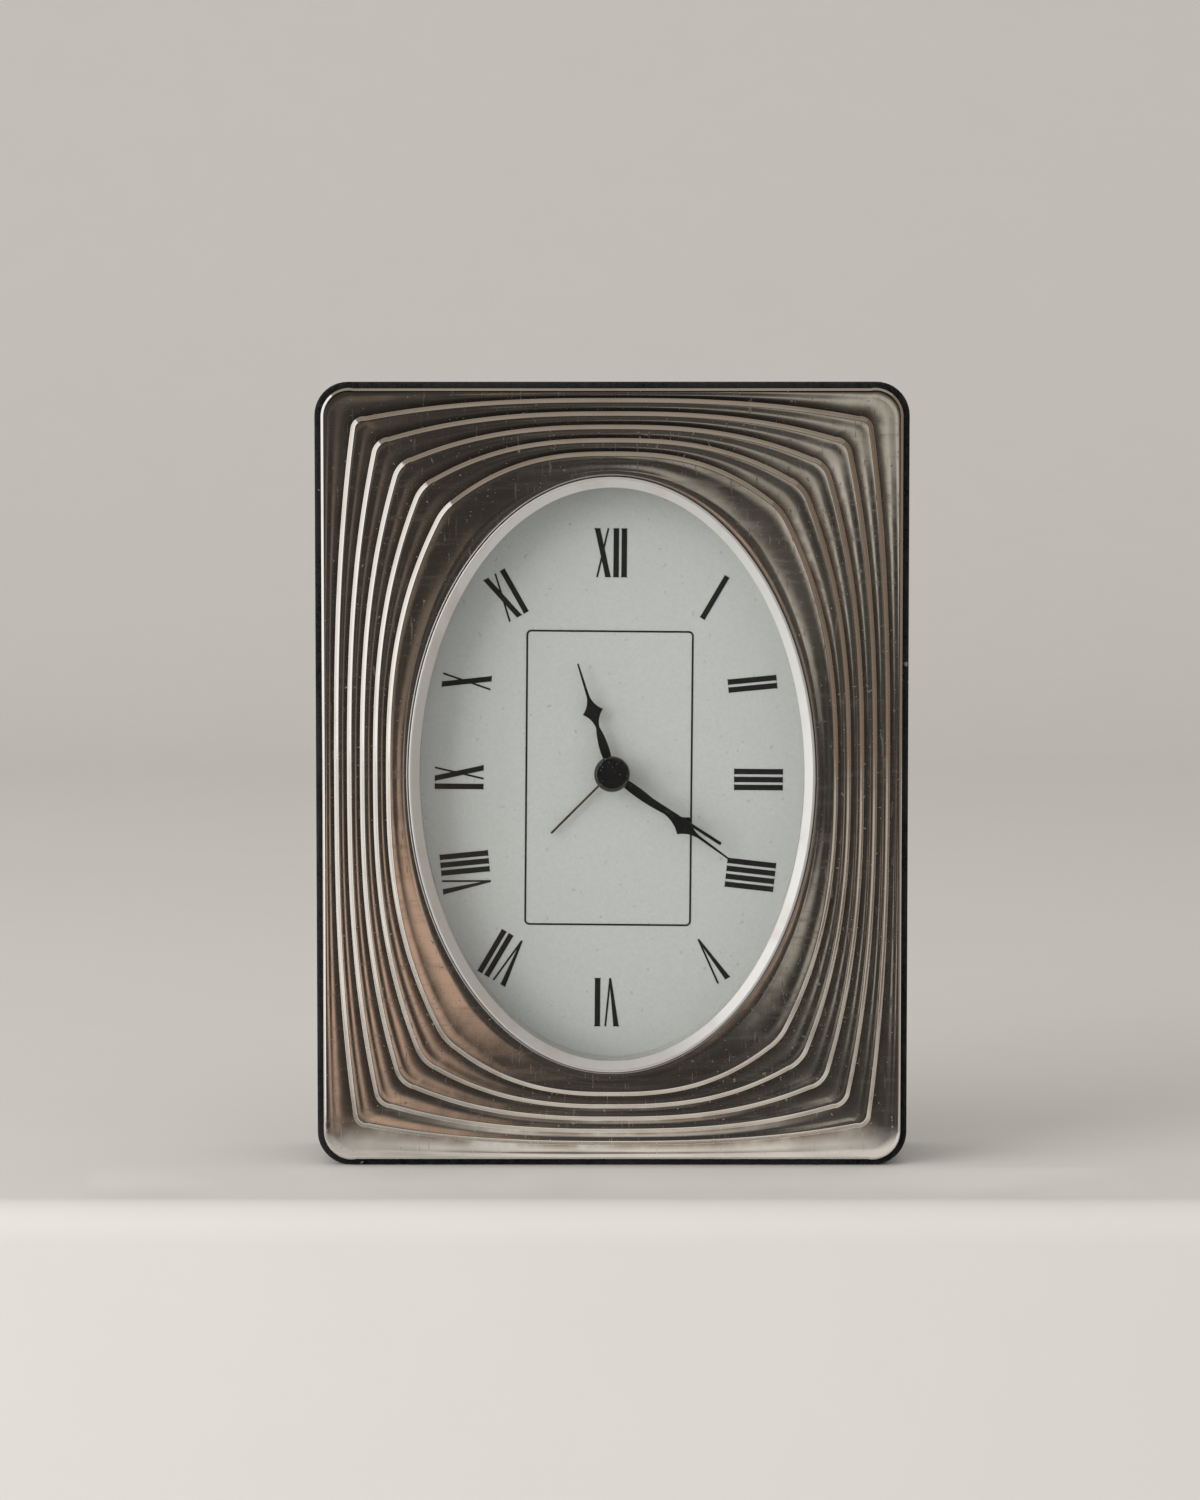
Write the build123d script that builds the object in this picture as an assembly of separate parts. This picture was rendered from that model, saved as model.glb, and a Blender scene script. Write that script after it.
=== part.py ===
from build123d import *
import os
from math import acos, cos, pi, radians, sin, tan

# Desk alarm clock. Millimetres. X to the viewer's right, front towards -Y, Z up, standing on Z = 0.
# Depths count from the bezel's front face towards the back.

# Silver front: a pressed sheet that steps down from the oval to its edge
silver_width = 90.0
silver_height = 120.0
silver_corner_radius = 4.5
silver_sheet = 0.5
ridge_count = 5
ridge_pitch = 2.05             # ridge to ridge at the middle of each side
ridge_corner_inset_x = 5.0     # silver's edge to the first ridge's corner
ridge_corner_inset_z = 5.25
ridge_corner_pitch = 3.45
ridge_corner_radius = 2.0
ridge_radius_growth = 1.45     # each ridge's corner is rounder than the one outside it
bow_power = 2.6                # a side is flat in the middle and bends in towards its ends
bow_count = 8                  # spans of the curve through a side
step_height = 0.8
nose_radius = 0.65             # rounding of each step's edge
skirt_height = 1.2
crest_depth = 0.8              # innermost step, behind the bezel's front
collar_round = 0.3

# Oval opening with its bezel ring, glass, spacer and dial
oval_margin_side = 13.5        # silver's edge to the oval, at the middle of each side
oval_margin_end = 13.85
oval_rise = 0.4                # centre of the oval and the ridges, above the middle of the silver
oval_clearance = 0.15
bezel_rim = 1.8
bezel_rim_depth = 1.3
bezel_wall = 0.9
bezel_bevel_width = 1.25
bezel_bevel_depth = 1.0
bezel_round = 0.2
glass_thickness = 1.5
glass_clearance = 0.1
spacer_wall = 0.5
dial_margin = 2.0              # dial hidden behind the case's front wall
dial_thickness = 0.5
dial_hole_radius = 2.1

# Printing on the dial
print_thickness = 0.06
print_drop = 0.95              # middle of the printing below the hands' centre
print_shift = 0.5              # and to the left of it
print_turn_angle = 0.5         # printing turned clockwise on the dial
numeral_height = 7.6
numeral_stroke = 0.84
numeral_hairline = 0.28
numeral_pitch = 1.24           # stroke to stroke
numeral_spread = 1.7           # open end of a V or an X
serif_width = 0.95
serif_thickness = 0.14
numeral_inset_side = 8.2       # oval to the middles of III and IX
numeral_inset_end = 11.05      # oval to the middles of XII and VI
line_inset_side = 10.3         # middles of the numerals to the printed line
line_inset_end = 12.05
line_stroke = 0.28
line_corner_radius = 0.8

# Velvet case and back panel
velvet_margin = 1.0            # velvet seen round the silver
case_depth = 23.5
case_wall = 2.5
case_front_wall = 2.0
case_corner_radius = 5.2
case_edge_round = 0.5
post_size = 7.5
pad_radius = 3.5
panel_thickness = 2.5
panel_clearance = 0.15
panel_edge_round = 0.4

# Dial plate
plate_thickness = 2.0
plate_clearance = 0.3
plate_overhang = 2.0           # plate past the dial, up and down
plate_screw_inset = 4.5

# Movement housing
movement_width = 56.0
movement_wall = 1.2
movement_front_wall = 1.0
movement_corner_radius = 2.0
movement_gap = 0.6             # round the movement in the back panel
cover_thickness = 1.2
battery_bay_height = 15.2
bay_wall = 1.0
plate_bay_gap = 1.2            # train plates above the bay's wall
coil_wall_gap = 3.3            # coil below the top wall
coil_back_gap = 0.5            # coil to the buzzer behind it
switch_works_gap = 0.4         # bridge screws to the switch behind them
cover_post_radius = 2.5
cover_post_bite = 0.5          # post sunk into the walls beside it
ear_length = 7.0
ear_height = 9.0
ear_thickness = 2.0
ear_rise = 16.0

# Screws: head radius, head height, shank radius and length, by size
panel_screw = (2.3, 1.1, 1.3, 7.0)
plate_screw = (2.2, 1.1, 1.1, 3.6)
ear_screw = (2.0, 1.0, 1.0, 3.4)
cover_screw = (1.8, 0.7, 0.9, 6.0)
bridge_screw = (1.4, 0.6, 0.7, 3.0)
screw_slot_width = 0.5
screw_slot_depth = 0.5
screw_hole_gap = 0.15

# Wheels: teeth and modules. Pairs on one arbor share their distance from the centre.
rotor_teeth, fifth_teeth = 10, 50
fifth_pinion_teeth, second_teeth = 10, 60
second_pinion_teeth, third_teeth = 8, 60
third_pinion_teeth, centre_teeth = 8, 64
cannon_teeth, motion_teeth = 12, 36
motion_pinion_teeth, hour_teeth = 10, 40
alarm_pinion_teeth, alarm_teeth = 12, 48
rotor_distance = 5.4
fifth_distance = 7.35
third_distance = 7.2
motion_distance = 9.0
alarm_distance = 9.0
rotor_direction = 100.0        # degrees from +X towards +Z, seen from the front
fifth_direction = 140.0
third_direction = 60.0
motion_direction = 190.0
alarm_direction = -10.0
pressure_angle = 25.0
addendum_share = 0.7           # of the module
dedendum_share = 0.95
backlash_share = 0.12
train_wheel_thickness = 0.6
train_pitch = 1.1              # wheel to wheel along the arbors
motion_wheel_thickness = 0.8
motion_pitch = 1.3
pinion_overlap = 0.1           # a pinion's ends stand past its wheel
layer_gap = 0.4
train_gap = 0.5

# Arbors, tubes and hands on one axis
running_gap = 0.05
second_arbor_radius = 0.4
tube_wall = 0.35
pivot_radius = 0.4
pivot_depth = 0.6
setting_arbor_radius = 0.8
hand_thickness = 0.22
hand_pitch = 0.95              # hand to hand
alarm_hand_gap = 0.4           # alarm hand's hub off the dial
hub_height = 0.4
hub_wall = 0.45
cap_radius = 2.8
cap_height = 0.9
cap_round = 0.7
minute_hand_gap = 0.4          # minute hand's tip short of the middle of III
hour_hand_shortfall = 5.1      # shorter than the minute hand
second_hand_shortfall = 2.8
alarm_hand_shortfall = 9.5
baton_width = 0.5
alarm_hand_width = 0.34
hand_hub_radius = 2.0
diamond_half_width = 1.65
bulge_half_width = 0.74
waist_half_width = 0.28
spike_half_width = 0.22
tip_half_width = 0.13
hour_rest_angle = 342.7        # degrees clockwise from twelve, as all four rest angles
minute_rest_angle = 126.25
second_rest_angle = 122.8
alarm_rest_angle = 225.0
diamond_place_shares = {"hour": 0.56, "minute": 0.6}   # of the hand's length
bulge_place_share = 0.4        # of the way out to the diamond
waist_place_share = 0.74
shoulder_place_share = 0.34    # of the way from the diamond to the tip
root_width_share = 0.72        # of the bulge
hollow_width_share = 0.32      # where a hollow side passes, across and along
hollow_length_share = 0.58

# Plates inside the movement
train_plate_thickness = 1.0
bridge_thickness = 0.8
plate_half_width = 21.0
plate_bottom = -9.4            # from the centre
plate_top = 15.4
pillar_radius = 1.5
pillar_inset = 2.0

# Stepping motor
magnet_radius = 1.6
magnet_thickness = 1.4
stator_thickness = 1.0
stator_gap = 0.5               # round the magnet
stator_half_width = 17.0
stator_arm = 6.0
yoke_height = 5.4
stator_pin_radius = 1.0
stator_pin_base_radius = 1.8
stator_tab_margin = 0.5
core_thickness = 1.0
core_height = 3.0
coil_length = 19.0
coil_rise = 19.6               # coil's axis above the centre
bobbin_wall = 0.5
bobbin_flange = 1.0
winding_radius = 3.4
flange_radius = 3.9
core_clearance = 0.1

# Electronics
board_width = 5.6
board_thickness = 1.0
board_gap_low = 2.1            # circuit board to the cover posts below and above it
board_gap_high = 2.3
board_post_radius = 1.4
board_post_height = 8.0
crystal_radius = 1.0
crystal_length = 6.0
chip_radius = 2.0
chip_height = 0.9
buzzer_radius = 8.0
buzzer_thickness = 0.5
buzzer_x = -14.0
buzzer_rise = 14.0
sound_hole_radius = 0.7
sound_ring_radius = 3.2
sound_hole_count = 6

# Battery, its contacts and its door
battery_length = 50.3
battery_nub_radius = 2.6
battery_nub_length = 1.2
battery_round = 0.6
battery_gap = 0.1              # battery to the bay's front wall
battery_side_gap = 0.5
battery_back_gap = 0.5
contact_thickness = 0.35
contact_height = 9.0
contact_width = 9.0
contact_gap = 0.1
door_width = 51.2
door_height = 14.4
door_bay_inset = 0.4           # door's plug above the bay's bottom
door_screw_gap = 0.4           # door's flange to the cover screws
door_flange = 1.2
door_flange_thickness = 0.8
door_clearance = 0.2
door_grip_width = 12.0
door_grip_thickness = 0.5
door_grip_height = 0.7
door_grip_count = 3
door_grip_pitch = 1.6

# Controls at the back
knob_radius = 5.2
knob_height = 1.6
knob_gap = 0.25
knob_flute_radius = 0.55
knob_flute_count = 18
switch_x = 15.0
switch_rise = 16.0
switch_travel = 3.0
switch_stem_width = 3.6
switch_stem_height = 2.0
switch_button_width = 6.0
switch_button_height = 4.2
switch_button_thickness = 1.4
switch_flange_width = 9.0
switch_flange_height = 4.4
switch_flange_thickness = 0.8
switch_gap = 0.1
switch_groove_width = 0.5
switch_groove_depth = 0.5
switch_groove_count = 4

# Depths worked out from the sizes above
edge_depth = crest_depth + ridge_count * step_height
case_front = edge_depth + skirt_height
total_depth = case_front + case_depth
dial_front = case_front + case_front_wall
plate_front = dial_front + dial_thickness
movement_front = plate_front + plate_thickness
panel_front = total_depth - panel_thickness
bay_front = movement_front + movement_front_wall
alarm_wheel_front = bay_front + layer_gap
hour_wheel_front = alarm_wheel_front + motion_pitch
motion_wheel_front = hour_wheel_front + motion_pitch
train_plate_front = motion_wheel_front + motion_pitch
train_plate_back = train_plate_front + train_plate_thickness
centre_wheel_front = train_plate_back + train_gap
third_wheel_front = centre_wheel_front + train_pitch
second_wheel_front = third_wheel_front + train_pitch
fifth_wheel_front = second_wheel_front + train_pitch
magnet_front = fifth_wheel_front + train_pitch
bridge_front = magnet_front + magnet_thickness + train_gap
bridge_back = bridge_front + bridge_thickness
coil_middle = magnet_front + (magnet_thickness - stator_thickness - core_thickness) / 2
battery_radius = battery_bay_height / 2 - battery_side_gap
movement_depth = max(
    bay_front + battery_gap + 2 * battery_radius + battery_back_gap,
    bridge_back + bridge_screw[1] + switch_works_gap + switch_flange_thickness + switch_gap,
    coil_middle + flange_radius + coil_back_gap + buzzer_thickness,
) - movement_front
cover_front = movement_front + movement_depth
cover_back = cover_front + cover_thickness
alarm_hand_front = dial_front - alarm_hand_gap - hub_height - hand_thickness
hour_hand_front = alarm_hand_front - hand_pitch
minute_hand_front = hour_hand_front - hand_pitch
second_hand_front = minute_hand_front - hand_pitch
glass_front = bezel_rim_depth
glass_back = glass_front + glass_thickness

# Other derived sizes
oval_width = silver_width - 2 * oval_margin_side
oval_height = silver_height - 2 * oval_margin_end
numeral_ring_width = oval_width - 2 * numeral_inset_side
numeral_ring_height = oval_height - 2 * numeral_inset_end
line_width = numeral_ring_width - 2 * line_inset_side
line_height = numeral_ring_height - 2 * line_inset_end
minute_length = numeral_ring_width / 2 - minute_hand_gap
hour_length = minute_length - hour_hand_shortfall
second_length = minute_length - second_hand_shortfall
alarm_length = minute_length - alarm_hand_shortfall
case_width = silver_width + 2 * velvet_margin
case_height = silver_height + 2 * velvet_margin
middle_height = case_height / 2
centre_height = middle_height + oval_rise
minute_bore = second_arbor_radius + running_gap
minute_radius = minute_bore + tube_wall
hour_bore = minute_radius + running_gap
hour_radius = hour_bore + tube_wall
alarm_bore = hour_radius + running_gap
alarm_radius = alarm_bore + tube_wall
inner_half_width = movement_width / 2 - movement_wall
inner_half_height = max(
    battery_bay_height + bay_wall + plate_bay_gap - plate_bottom, coil_rise + flange_radius + coil_wall_gap
)
movement_height = 2 * (inner_half_height + movement_wall)
bay_bottom = -inner_half_height
bay_middle = bay_bottom + battery_bay_height / 2
bay_top = bay_bottom + battery_bay_height
door_middle = bay_bottom + door_bay_inset + door_height / 2
door_top = door_middle + door_height / 2 + door_flange


def around(direction, distance):
    """Place at a direction and distance from the centre."""
    return distance * cos(radians(direction)), distance * sin(radians(direction))


third_place = around(third_direction, third_distance)
fifth_place = around(fifth_direction, fifth_distance)
rotor_offset = around(rotor_direction, rotor_distance)
rotor_place = (fifth_place[0] + rotor_offset[0], fifth_place[1] + rotor_offset[1])
motion_place = around(motion_direction, motion_distance)
alarm_place = around(alarm_direction, alarm_distance)
pillar_places = [
    (x, z)
    for x in (pillar_inset - plate_half_width, plate_half_width - pillar_inset)
    for z in (plate_bottom + pillar_inset, plate_top - pillar_inset)
]
stator_pin_x = stator_half_width - stator_arm / 2
cover_post_reach = cover_post_radius - cover_post_bite
cover_post_x = inner_half_width - cover_post_reach
cover_post_low = max(bay_top + bay_wall + cover_post_reach, door_top + door_screw_gap + cover_screw[0])
cover_post_high = inner_half_height - cover_post_reach
cover_post_places = [
    (x, z)
    for x in (-cover_post_x, cover_post_x)
    for z in (cover_post_low, cover_post_high)
]
board_x = inner_half_width - board_width / 2
board_bottom = cover_post_low + cover_post_radius + board_gap_low
board_top = cover_post_high - cover_post_radius - board_gap_high
board_height = board_top - board_bottom
board_rise = (board_top + board_bottom) / 2
ear_x = movement_width / 2 + ear_length / 2
ear_places = [(x, z) for x in (-ear_x, ear_x) for z in (-ear_rise, ear_rise)]
dial_half_height = oval_height / 2 + dial_margin
plate_width = case_width - 2 * (case_wall + plate_clearance)
plate_height = 2 * (dial_half_height + plate_overhang)
plate_screw_places = [
    (x, z)
    for x in (plate_screw_inset - plate_width / 2, plate_width / 2 - plate_screw_inset)
    for z in (plate_screw_inset - plate_height / 2, plate_height / 2 - plate_screw_inset)
]
post_x = case_width / 2 - case_wall - post_size / 2
post_z = case_height / 2 - case_wall - post_size / 2
post_places = [(x, z) for x in (-post_x, post_x) for z in (-post_z, post_z)]


def front_plane(depth):
    """Plane that faces the viewer, at a depth behind the bezel's front."""
    return Plane(origin=(0, depth - total_depth / 2, 0), x_dir=(1, 0, 0), z_dir=(0, -1, 0))


def slab(outline, front, back):
    """Solid of a flat outline between two depths."""
    return extrude(front_plane(back) * outline, amount=back - front)


def at(place):
    """Move from the hands' centre to a place beside it."""
    return Pos(place[0], centre_height + place[1])


def rod(place, radius, front, back):
    return slab(at(place) * Circle(radius), front, back)


def front_edges(solid):
    return solid.faces().sort_by(Axis.Y)[0].edges()


def back_edges(solid):
    return solid.faces().sort_by(Axis.Y)[-1].edges()


def oval(inset):
    """The front's oval, made smaller by an inset."""
    return Pos(0, centre_height) * Ellipse(oval_width / 2 - inset, oval_height / 2 - inset)


def panel(width, height, radius):
    return Pos(0, middle_height) * RectangleRounded(width, height, radius)


# Silver front

def bowed_side(half_length, end, peak):
    """Points along one side of a step: how far along it, and how far out."""
    points = []
    for i in range(bow_count + 1):
        along = 1 - 2 * i / bow_count
        out = peak + (end - peak) * abs(along) ** bow_power
        points.append((half_length * along, out))
    return points


def ridge_outline(ridge, inset):
    """Outline of one step: straight-sided at the edge, then more and more bowed towards the oval."""
    if ridge == 0:
        return panel(silver_width - 2 * inset, silver_height - 2 * inset, silver_corner_radius - inset)
    half_x = silver_width / 2 - inset
    half_z = silver_height / 2 - inset
    side = half_x - ridge * ridge_pitch
    top = half_z - ridge * ridge_pitch
    corner_x = half_x - ridge_corner_inset_x - (ridge - 1) * ridge_corner_pitch
    corner_z = half_z - ridge_corner_inset_z - (ridge - 1) * ridge_corner_pitch
    curves = []
    for way in (1, -1):
        upright = bowed_side(way * corner_z, way * corner_x, way * side)
        curves.append(Spline([(x, z) for z, x in upright]))
        curves.append(Spline(bowed_side(way * corner_x, way * corner_z, way * top)))
    bowed = make_face(curves)
    radius = ridge_corner_radius * ridge_radius_growth ** (ridge - 1) - inset
    return Pos(0, centre_height) * fillet(bowed.vertices(), radius)


def step_front(ridge):
    return edge_depth - ridge * step_height


def make_silver_front():
    body = None
    hollow = None
    for ridge in range(ridge_count + 1):
        back = case_front if ridge == 0 else step_front(ridge - 1)
        step = slab(ridge_outline(ridge, 0) - oval(0), step_front(ridge), back)
        step = fillet(step.faces().sort_by(Axis.Y)[0].outer_wire().edges(), nose_radius)
        room_outline = ridge_outline(ridge, silver_sheet) - oval(-silver_sheet)
        room = slab(room_outline, step_front(ridge) + silver_sheet, case_front)
        body = step if body is None else body + step
        hollow = room if hollow is None else hollow + room
    front = body - hollow
    rim = front.edges().filter_by(GeomType.ELLIPSE).sort_by(Axis.Y)[0]
    return fillet(rim, collar_round)


# Bezel, glass, spacer and dial

def make_bezel_ring():
    outer = oval(oval_clearance)
    rim = oval(bezel_rim)
    seat = oval(oval_clearance + bezel_wall)
    ring = slab(outer - rim, 0, bezel_rim_depth) + slab(outer - seat, bezel_rim_depth, dial_front)
    front_loops = front_edges(ring).sort_by(SortBy.LENGTH)
    face = ring.faces().sort_by(Axis.Y)[0]
    ring = chamfer(front_loops[0], bezel_bevel_width, bezel_bevel_depth, reference=face)
    front_loops = front_edges(ring).sort_by(SortBy.LENGTH)
    return fillet(front_loops[-1], bezel_round)


def make_glass():
    return slab(oval(oval_clearance + bezel_wall + glass_clearance), glass_front, glass_back)


def make_spacer_ring():
    outer = oval_clearance + bezel_wall + glass_clearance
    return slab(oval(outer) - oval(outer + spacer_wall), glass_back, dial_front)


def make_dial():
    return slab(oval(-dial_margin) - at((0, 0)) * Circle(dial_hole_radius), dial_front, plate_front)


# Printing on the dial

def print_place():
    return at((-print_shift, -print_drop)) * Rot(0, 0, -print_turn_angle)


def stroke(start, end, width):
    """Bar between two heights of a numeral, cut square at the top and bottom."""
    half = width / 2
    return make_face(
        Polyline(
            (start[0] - half, start[1]),
            (start[0] + half, start[1]),
            (end[0] + half, end[1]),
            (end[0] - half, end[1]),
            close=True,
        )
    )


def serif(x, z):
    return Pos(x, z) * Rectangle(serif_width, serif_thickness)


def letter_i(x):
    half = numeral_height / 2
    bar = stroke((x, -half), (x, half), numeral_stroke)
    inset = half - serif_thickness / 2
    return bar + serif(x, inset) + serif(x, -inset)


def letter_v(x):
    half = numeral_height / 2
    foot = x + (numeral_stroke - numeral_hairline) / 4
    left = x - numeral_spread / 2
    right = x + numeral_spread / 2
    thick = make_face(
        Polyline(
            (left - numeral_stroke / 2, half),
            (left + numeral_stroke / 2, half),
            (foot + numeral_hairline / 2, -half),
            (foot - numeral_hairline / 2, -half),
            close=True,
        )
    )
    thin = stroke((foot, -half), (right, half), numeral_hairline)
    return thick + thin + serif(left, half - serif_thickness / 2)


def letter_x(x):
    half = numeral_height / 2
    left = x - numeral_spread / 2
    right = x + numeral_spread / 2
    inset = half - serif_thickness / 2
    thick = stroke((right, -half), (left, half), numeral_stroke)
    thin = stroke((left, -half), (right, half), numeral_hairline)
    return thick + thin + serif(left, inset) + serif(right, -inset)


letter_makers = {"I": letter_i, "V": letter_v, "X": letter_x}
letter_widths = {"I": numeral_pitch, "V": numeral_spread + numeral_pitch, "X": numeral_spread + numeral_pitch}

# Places round the oval as shares of the numeral ring's half sizes, and each numeral's turn in degrees
numeral_place_shares = [
    ("XII", 0.0, 1.0, 0),
    ("I", 0.695, 0.806, 30),
    ("II", 0.953, 0.425, 84),
    ("III", 1.0, 0.0, 90),
    ("IIII", 0.953, -0.425, 96),
    ("V", 0.695, -0.806, 150),
    ("VI", 0.0, -1.0, 180),
    ("VII", -0.695, -0.806, 210),
    ("VIII", -0.953, -0.425, 264),
    ("IX", -1.0, 0.0, 270),
    ("X", -0.953, 0.425, 276),
    ("XI", -0.695, 0.806, 330),
]


def numeral(text):
    """Letters side by side, centred."""
    x = -sum(letter_widths[letter] for letter in text) / 2
    glyphs = []
    for letter in text:
        glyphs.append(letter_makers[letter](x + letter_widths[letter] / 2))
        x += letter_widths[letter]
    return Sketch() + glyphs


def make_dial_numerals():
    marks = []
    for text, share_x, share_z, turn in numeral_place_shares:
        place = (share_x * numeral_ring_width / 2, share_z * numeral_ring_height / 2)
        outline = print_place() * Pos(*place) * Rot(0, 0, -turn) * numeral(text)
        marks.append(slab(outline, dial_front - print_thickness, dial_front))
    return Part() + marks


def make_dial_line():
    outer = RectangleRounded(line_width, line_height, line_corner_radius)
    inner = RectangleRounded(
        line_width - 2 * line_stroke, line_height - 2 * line_stroke, line_corner_radius - line_stroke
    )
    return slab(print_place() * (outer - inner), dial_front - print_thickness, dial_front)


# Hands

def collet(radius, bore, front):
    """Hub behind a hand, pressed on its tube."""
    ring = Circle(radius) - Circle(bore)
    return slab(at((0, 0)) * ring, front + hand_thickness, front + hand_thickness + hub_height)


def spade_outline(length, diamond_share):
    """Hand with a bulge, a waist, a diamond with hollow sides and a long spike."""
    diamond = length * diamond_share
    bulge = diamond * bulge_place_share
    waist = diamond * waist_place_share
    shoulder = diamond + (length - diamond) * shoulder_place_share
    right = [
        (bulge_half_width * root_width_share, hand_hub_radius * root_width_share),
        (bulge_half_width, bulge),
        (waist_half_width, waist),
        (diamond_half_width, diamond),
        (spike_half_width, shoulder),
        (tip_half_width, length),
    ]
    left = [(-x, z) for x, z in right]
    curves = []
    for side in (right, left):
        curves += [
            Spline(side[0], side[1], side[2]),
            hollow_curve(side[2], side[3]),
            hollow_curve(side[4], side[3]),
            Line(side[4], side[5]),
        ]
    curves += [Line(right[0], left[0]), Line(right[-1], left[-1])]
    return make_face(curves)


def hollow_curve(narrow, wide):
    """Curve from a narrow place to a point of the diamond, bowed towards the hand's middle."""
    across = narrow[0] + (wide[0] - narrow[0]) * hollow_width_share
    along = narrow[1] + (wide[1] - narrow[1]) * hollow_length_share
    return ThreePointArc(narrow, (across, along), wide)


def hand(outline, turn, bore, hub_radius, front):
    """A hand's blade with its hub, turned clockwise from twelve."""
    blade = outline + Circle(hub_radius) - Circle(bore)
    plate = slab(at((0, 0)) * Rot(0, 0, -turn) * blade, front, front + hand_thickness)
    return plate + collet(bore + hub_wall, bore, front)


def baton(length, width):
    return Pos(0, length / 2) * Rectangle(width, length)


def make_hour_hand():
    outline = spade_outline(hour_length, diamond_place_shares["hour"])
    return hand(outline, hour_rest_angle, hour_radius, hand_hub_radius, hour_hand_front)


def make_minute_hand():
    outline = spade_outline(minute_length, diamond_place_shares["minute"])
    return hand(outline, minute_rest_angle, minute_radius, hand_hub_radius, minute_hand_front)


def make_second_hand():
    outline = baton(second_length, baton_width)
    return hand(outline, second_rest_angle, second_arbor_radius, hand_hub_radius, second_hand_front)


def make_alarm_hand():
    hub_radius = alarm_radius + hub_wall
    outline = baton(alarm_length, alarm_hand_width)
    return hand(outline, alarm_rest_angle, alarm_radius, hub_radius, alarm_hand_front)


def make_second_cap():
    cap = rod((0, 0), cap_radius, second_hand_front - cap_height, second_hand_front)
    return fillet(front_edges(cap), cap_round)


# Velvet case and back

def make_velvet_case():
    outer = slab(panel(case_width, case_height, case_corner_radius), case_front, total_depth)
    outer = fillet(front_edges(outer) + back_edges(outer), case_edge_round)
    inner = panel(case_width - 2 * case_wall, case_height - 2 * case_wall, case_corner_radius - case_wall)
    shell = outer - slab(inner, dial_front, total_depth) - slab(oval(0), case_front, dial_front)
    for x, z in post_places:
        shell += slab(Pos(x, middle_height + z) * Rectangle(post_size, post_size), dial_front, panel_front)
        shell -= screw_hole((x, middle_height + z), panel_screw, panel_back_seat())
    for place in plate_screw_places:
        shell += rod(place, pad_radius, dial_front, plate_front)
        shell -= screw_hole((place[0], centre_height + place[1]), plate_screw, movement_front)
    return shell


def panel_back_seat():
    """Depth that the back panel's screw heads sit at."""
    return total_depth - panel_screw[1]


def make_back_panel():
    inset = 2 * (case_wall + panel_clearance)
    board = slab(
        panel(case_width - inset, case_height - inset, case_corner_radius - case_wall - panel_clearance),
        panel_front,
        total_depth,
    )
    board = fillet(back_edges(board), panel_edge_round)
    window = RectangleRounded(
        movement_width + 2 * movement_gap,
        movement_height + 2 * movement_gap,
        movement_corner_radius + movement_gap,
    )
    board -= slab(at((0, 0)) * window, panel_front, total_depth)
    for x, z in post_places:
        place = Pos(x, middle_height + z)
        board -= slab(place * Circle(panel_screw[2] + screw_hole_gap), panel_front, total_depth)
        board -= slab(place * Circle(panel_screw[0] + screw_hole_gap), panel_back_seat(), total_depth)
    return board


# Screws

def screw(place, size, seat):
    """Slotted screw driven in from behind, with its head's underside at a depth. The place is in X and Z."""
    head_radius, head_height, shank_radius, length = size
    here = Pos(*place)
    solid = slab(here * Circle(shank_radius), seat - length, seat)
    solid += slab(here * Circle(head_radius), seat, seat + head_height)
    slot = here * Rectangle(2 * head_radius, screw_slot_width)
    return solid - slab(slot, seat + head_height - screw_slot_depth, seat + head_height)


def screw_hole(place, size, seat):
    """The threaded hole that a screw's shank fills."""
    return slab(Pos(*place) * Circle(size[2]), seat - size[3], seat)


def screws(places, size, seat):
    """A set of like screws, at places round the hands' centre."""
    return Compound(children=[screw((x, centre_height + z), size, seat).solid() for x, z in places])


def make_back_screws():
    places = [(x, z + middle_height - centre_height) for x, z in post_places]
    return screws(places, panel_screw, panel_back_seat())


# Dial plate

def make_dial_plate():
    board = slab(at((0, 0)) * Rectangle(plate_width, plate_height), plate_front, movement_front)
    board -= rod((0, 0), dial_hole_radius, plate_front, movement_front)
    for place in plate_screw_places:
        board -= rod(place, plate_screw[2] + screw_hole_gap, plate_front, movement_front)
    for x, z in ear_places:
        board -= screw_hole((x, centre_height + z), ear_screw, movement_front + ear_thickness)
    return board


# Movement housing

def make_movement_case():
    outline = RectangleRounded(movement_width, movement_height, movement_corner_radius)
    room = RectangleRounded(
        2 * inner_half_width, 2 * inner_half_height, movement_corner_radius - movement_wall
    )
    box = slab(at((0, 0)) * outline, movement_front, cover_front)
    box -= slab(at((0, 0)) * room, bay_front, cover_front)
    shelf = Rectangle(2 * inner_half_width, bay_wall)
    box += slab(at((0, bay_top + bay_wall / 2)) * shelf, bay_front, cover_front)
    box -= rod((0, 0), alarm_radius + running_gap, movement_front, bay_front)
    for place in pillar_places:
        box += rod(place, pillar_radius, bay_front, train_plate_front)
    for place in cover_post_places:
        box += rod(place, cover_post_radius, bay_front, cover_front)
        box -= screw_hole((place[0], centre_height + place[1]), cover_screw, cover_back)
    for place in board_post_places():
        box += rod(place, board_post_radius, bay_front, bay_front + board_post_height)
    for place in (motion_place, alarm_place):
        box -= rod(place, pivot_radius + running_gap, bay_front - pivot_depth, bay_front)
    for x, z in ear_places:
        ear = Rectangle(ear_length, ear_height)
        ear_back = movement_front + ear_thickness
        box += slab(at((x, z)) * ear, movement_front, ear_back)
        box -= rod((x, z), ear_screw[2] + screw_hole_gap, movement_front, ear_back)
    return box


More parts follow.
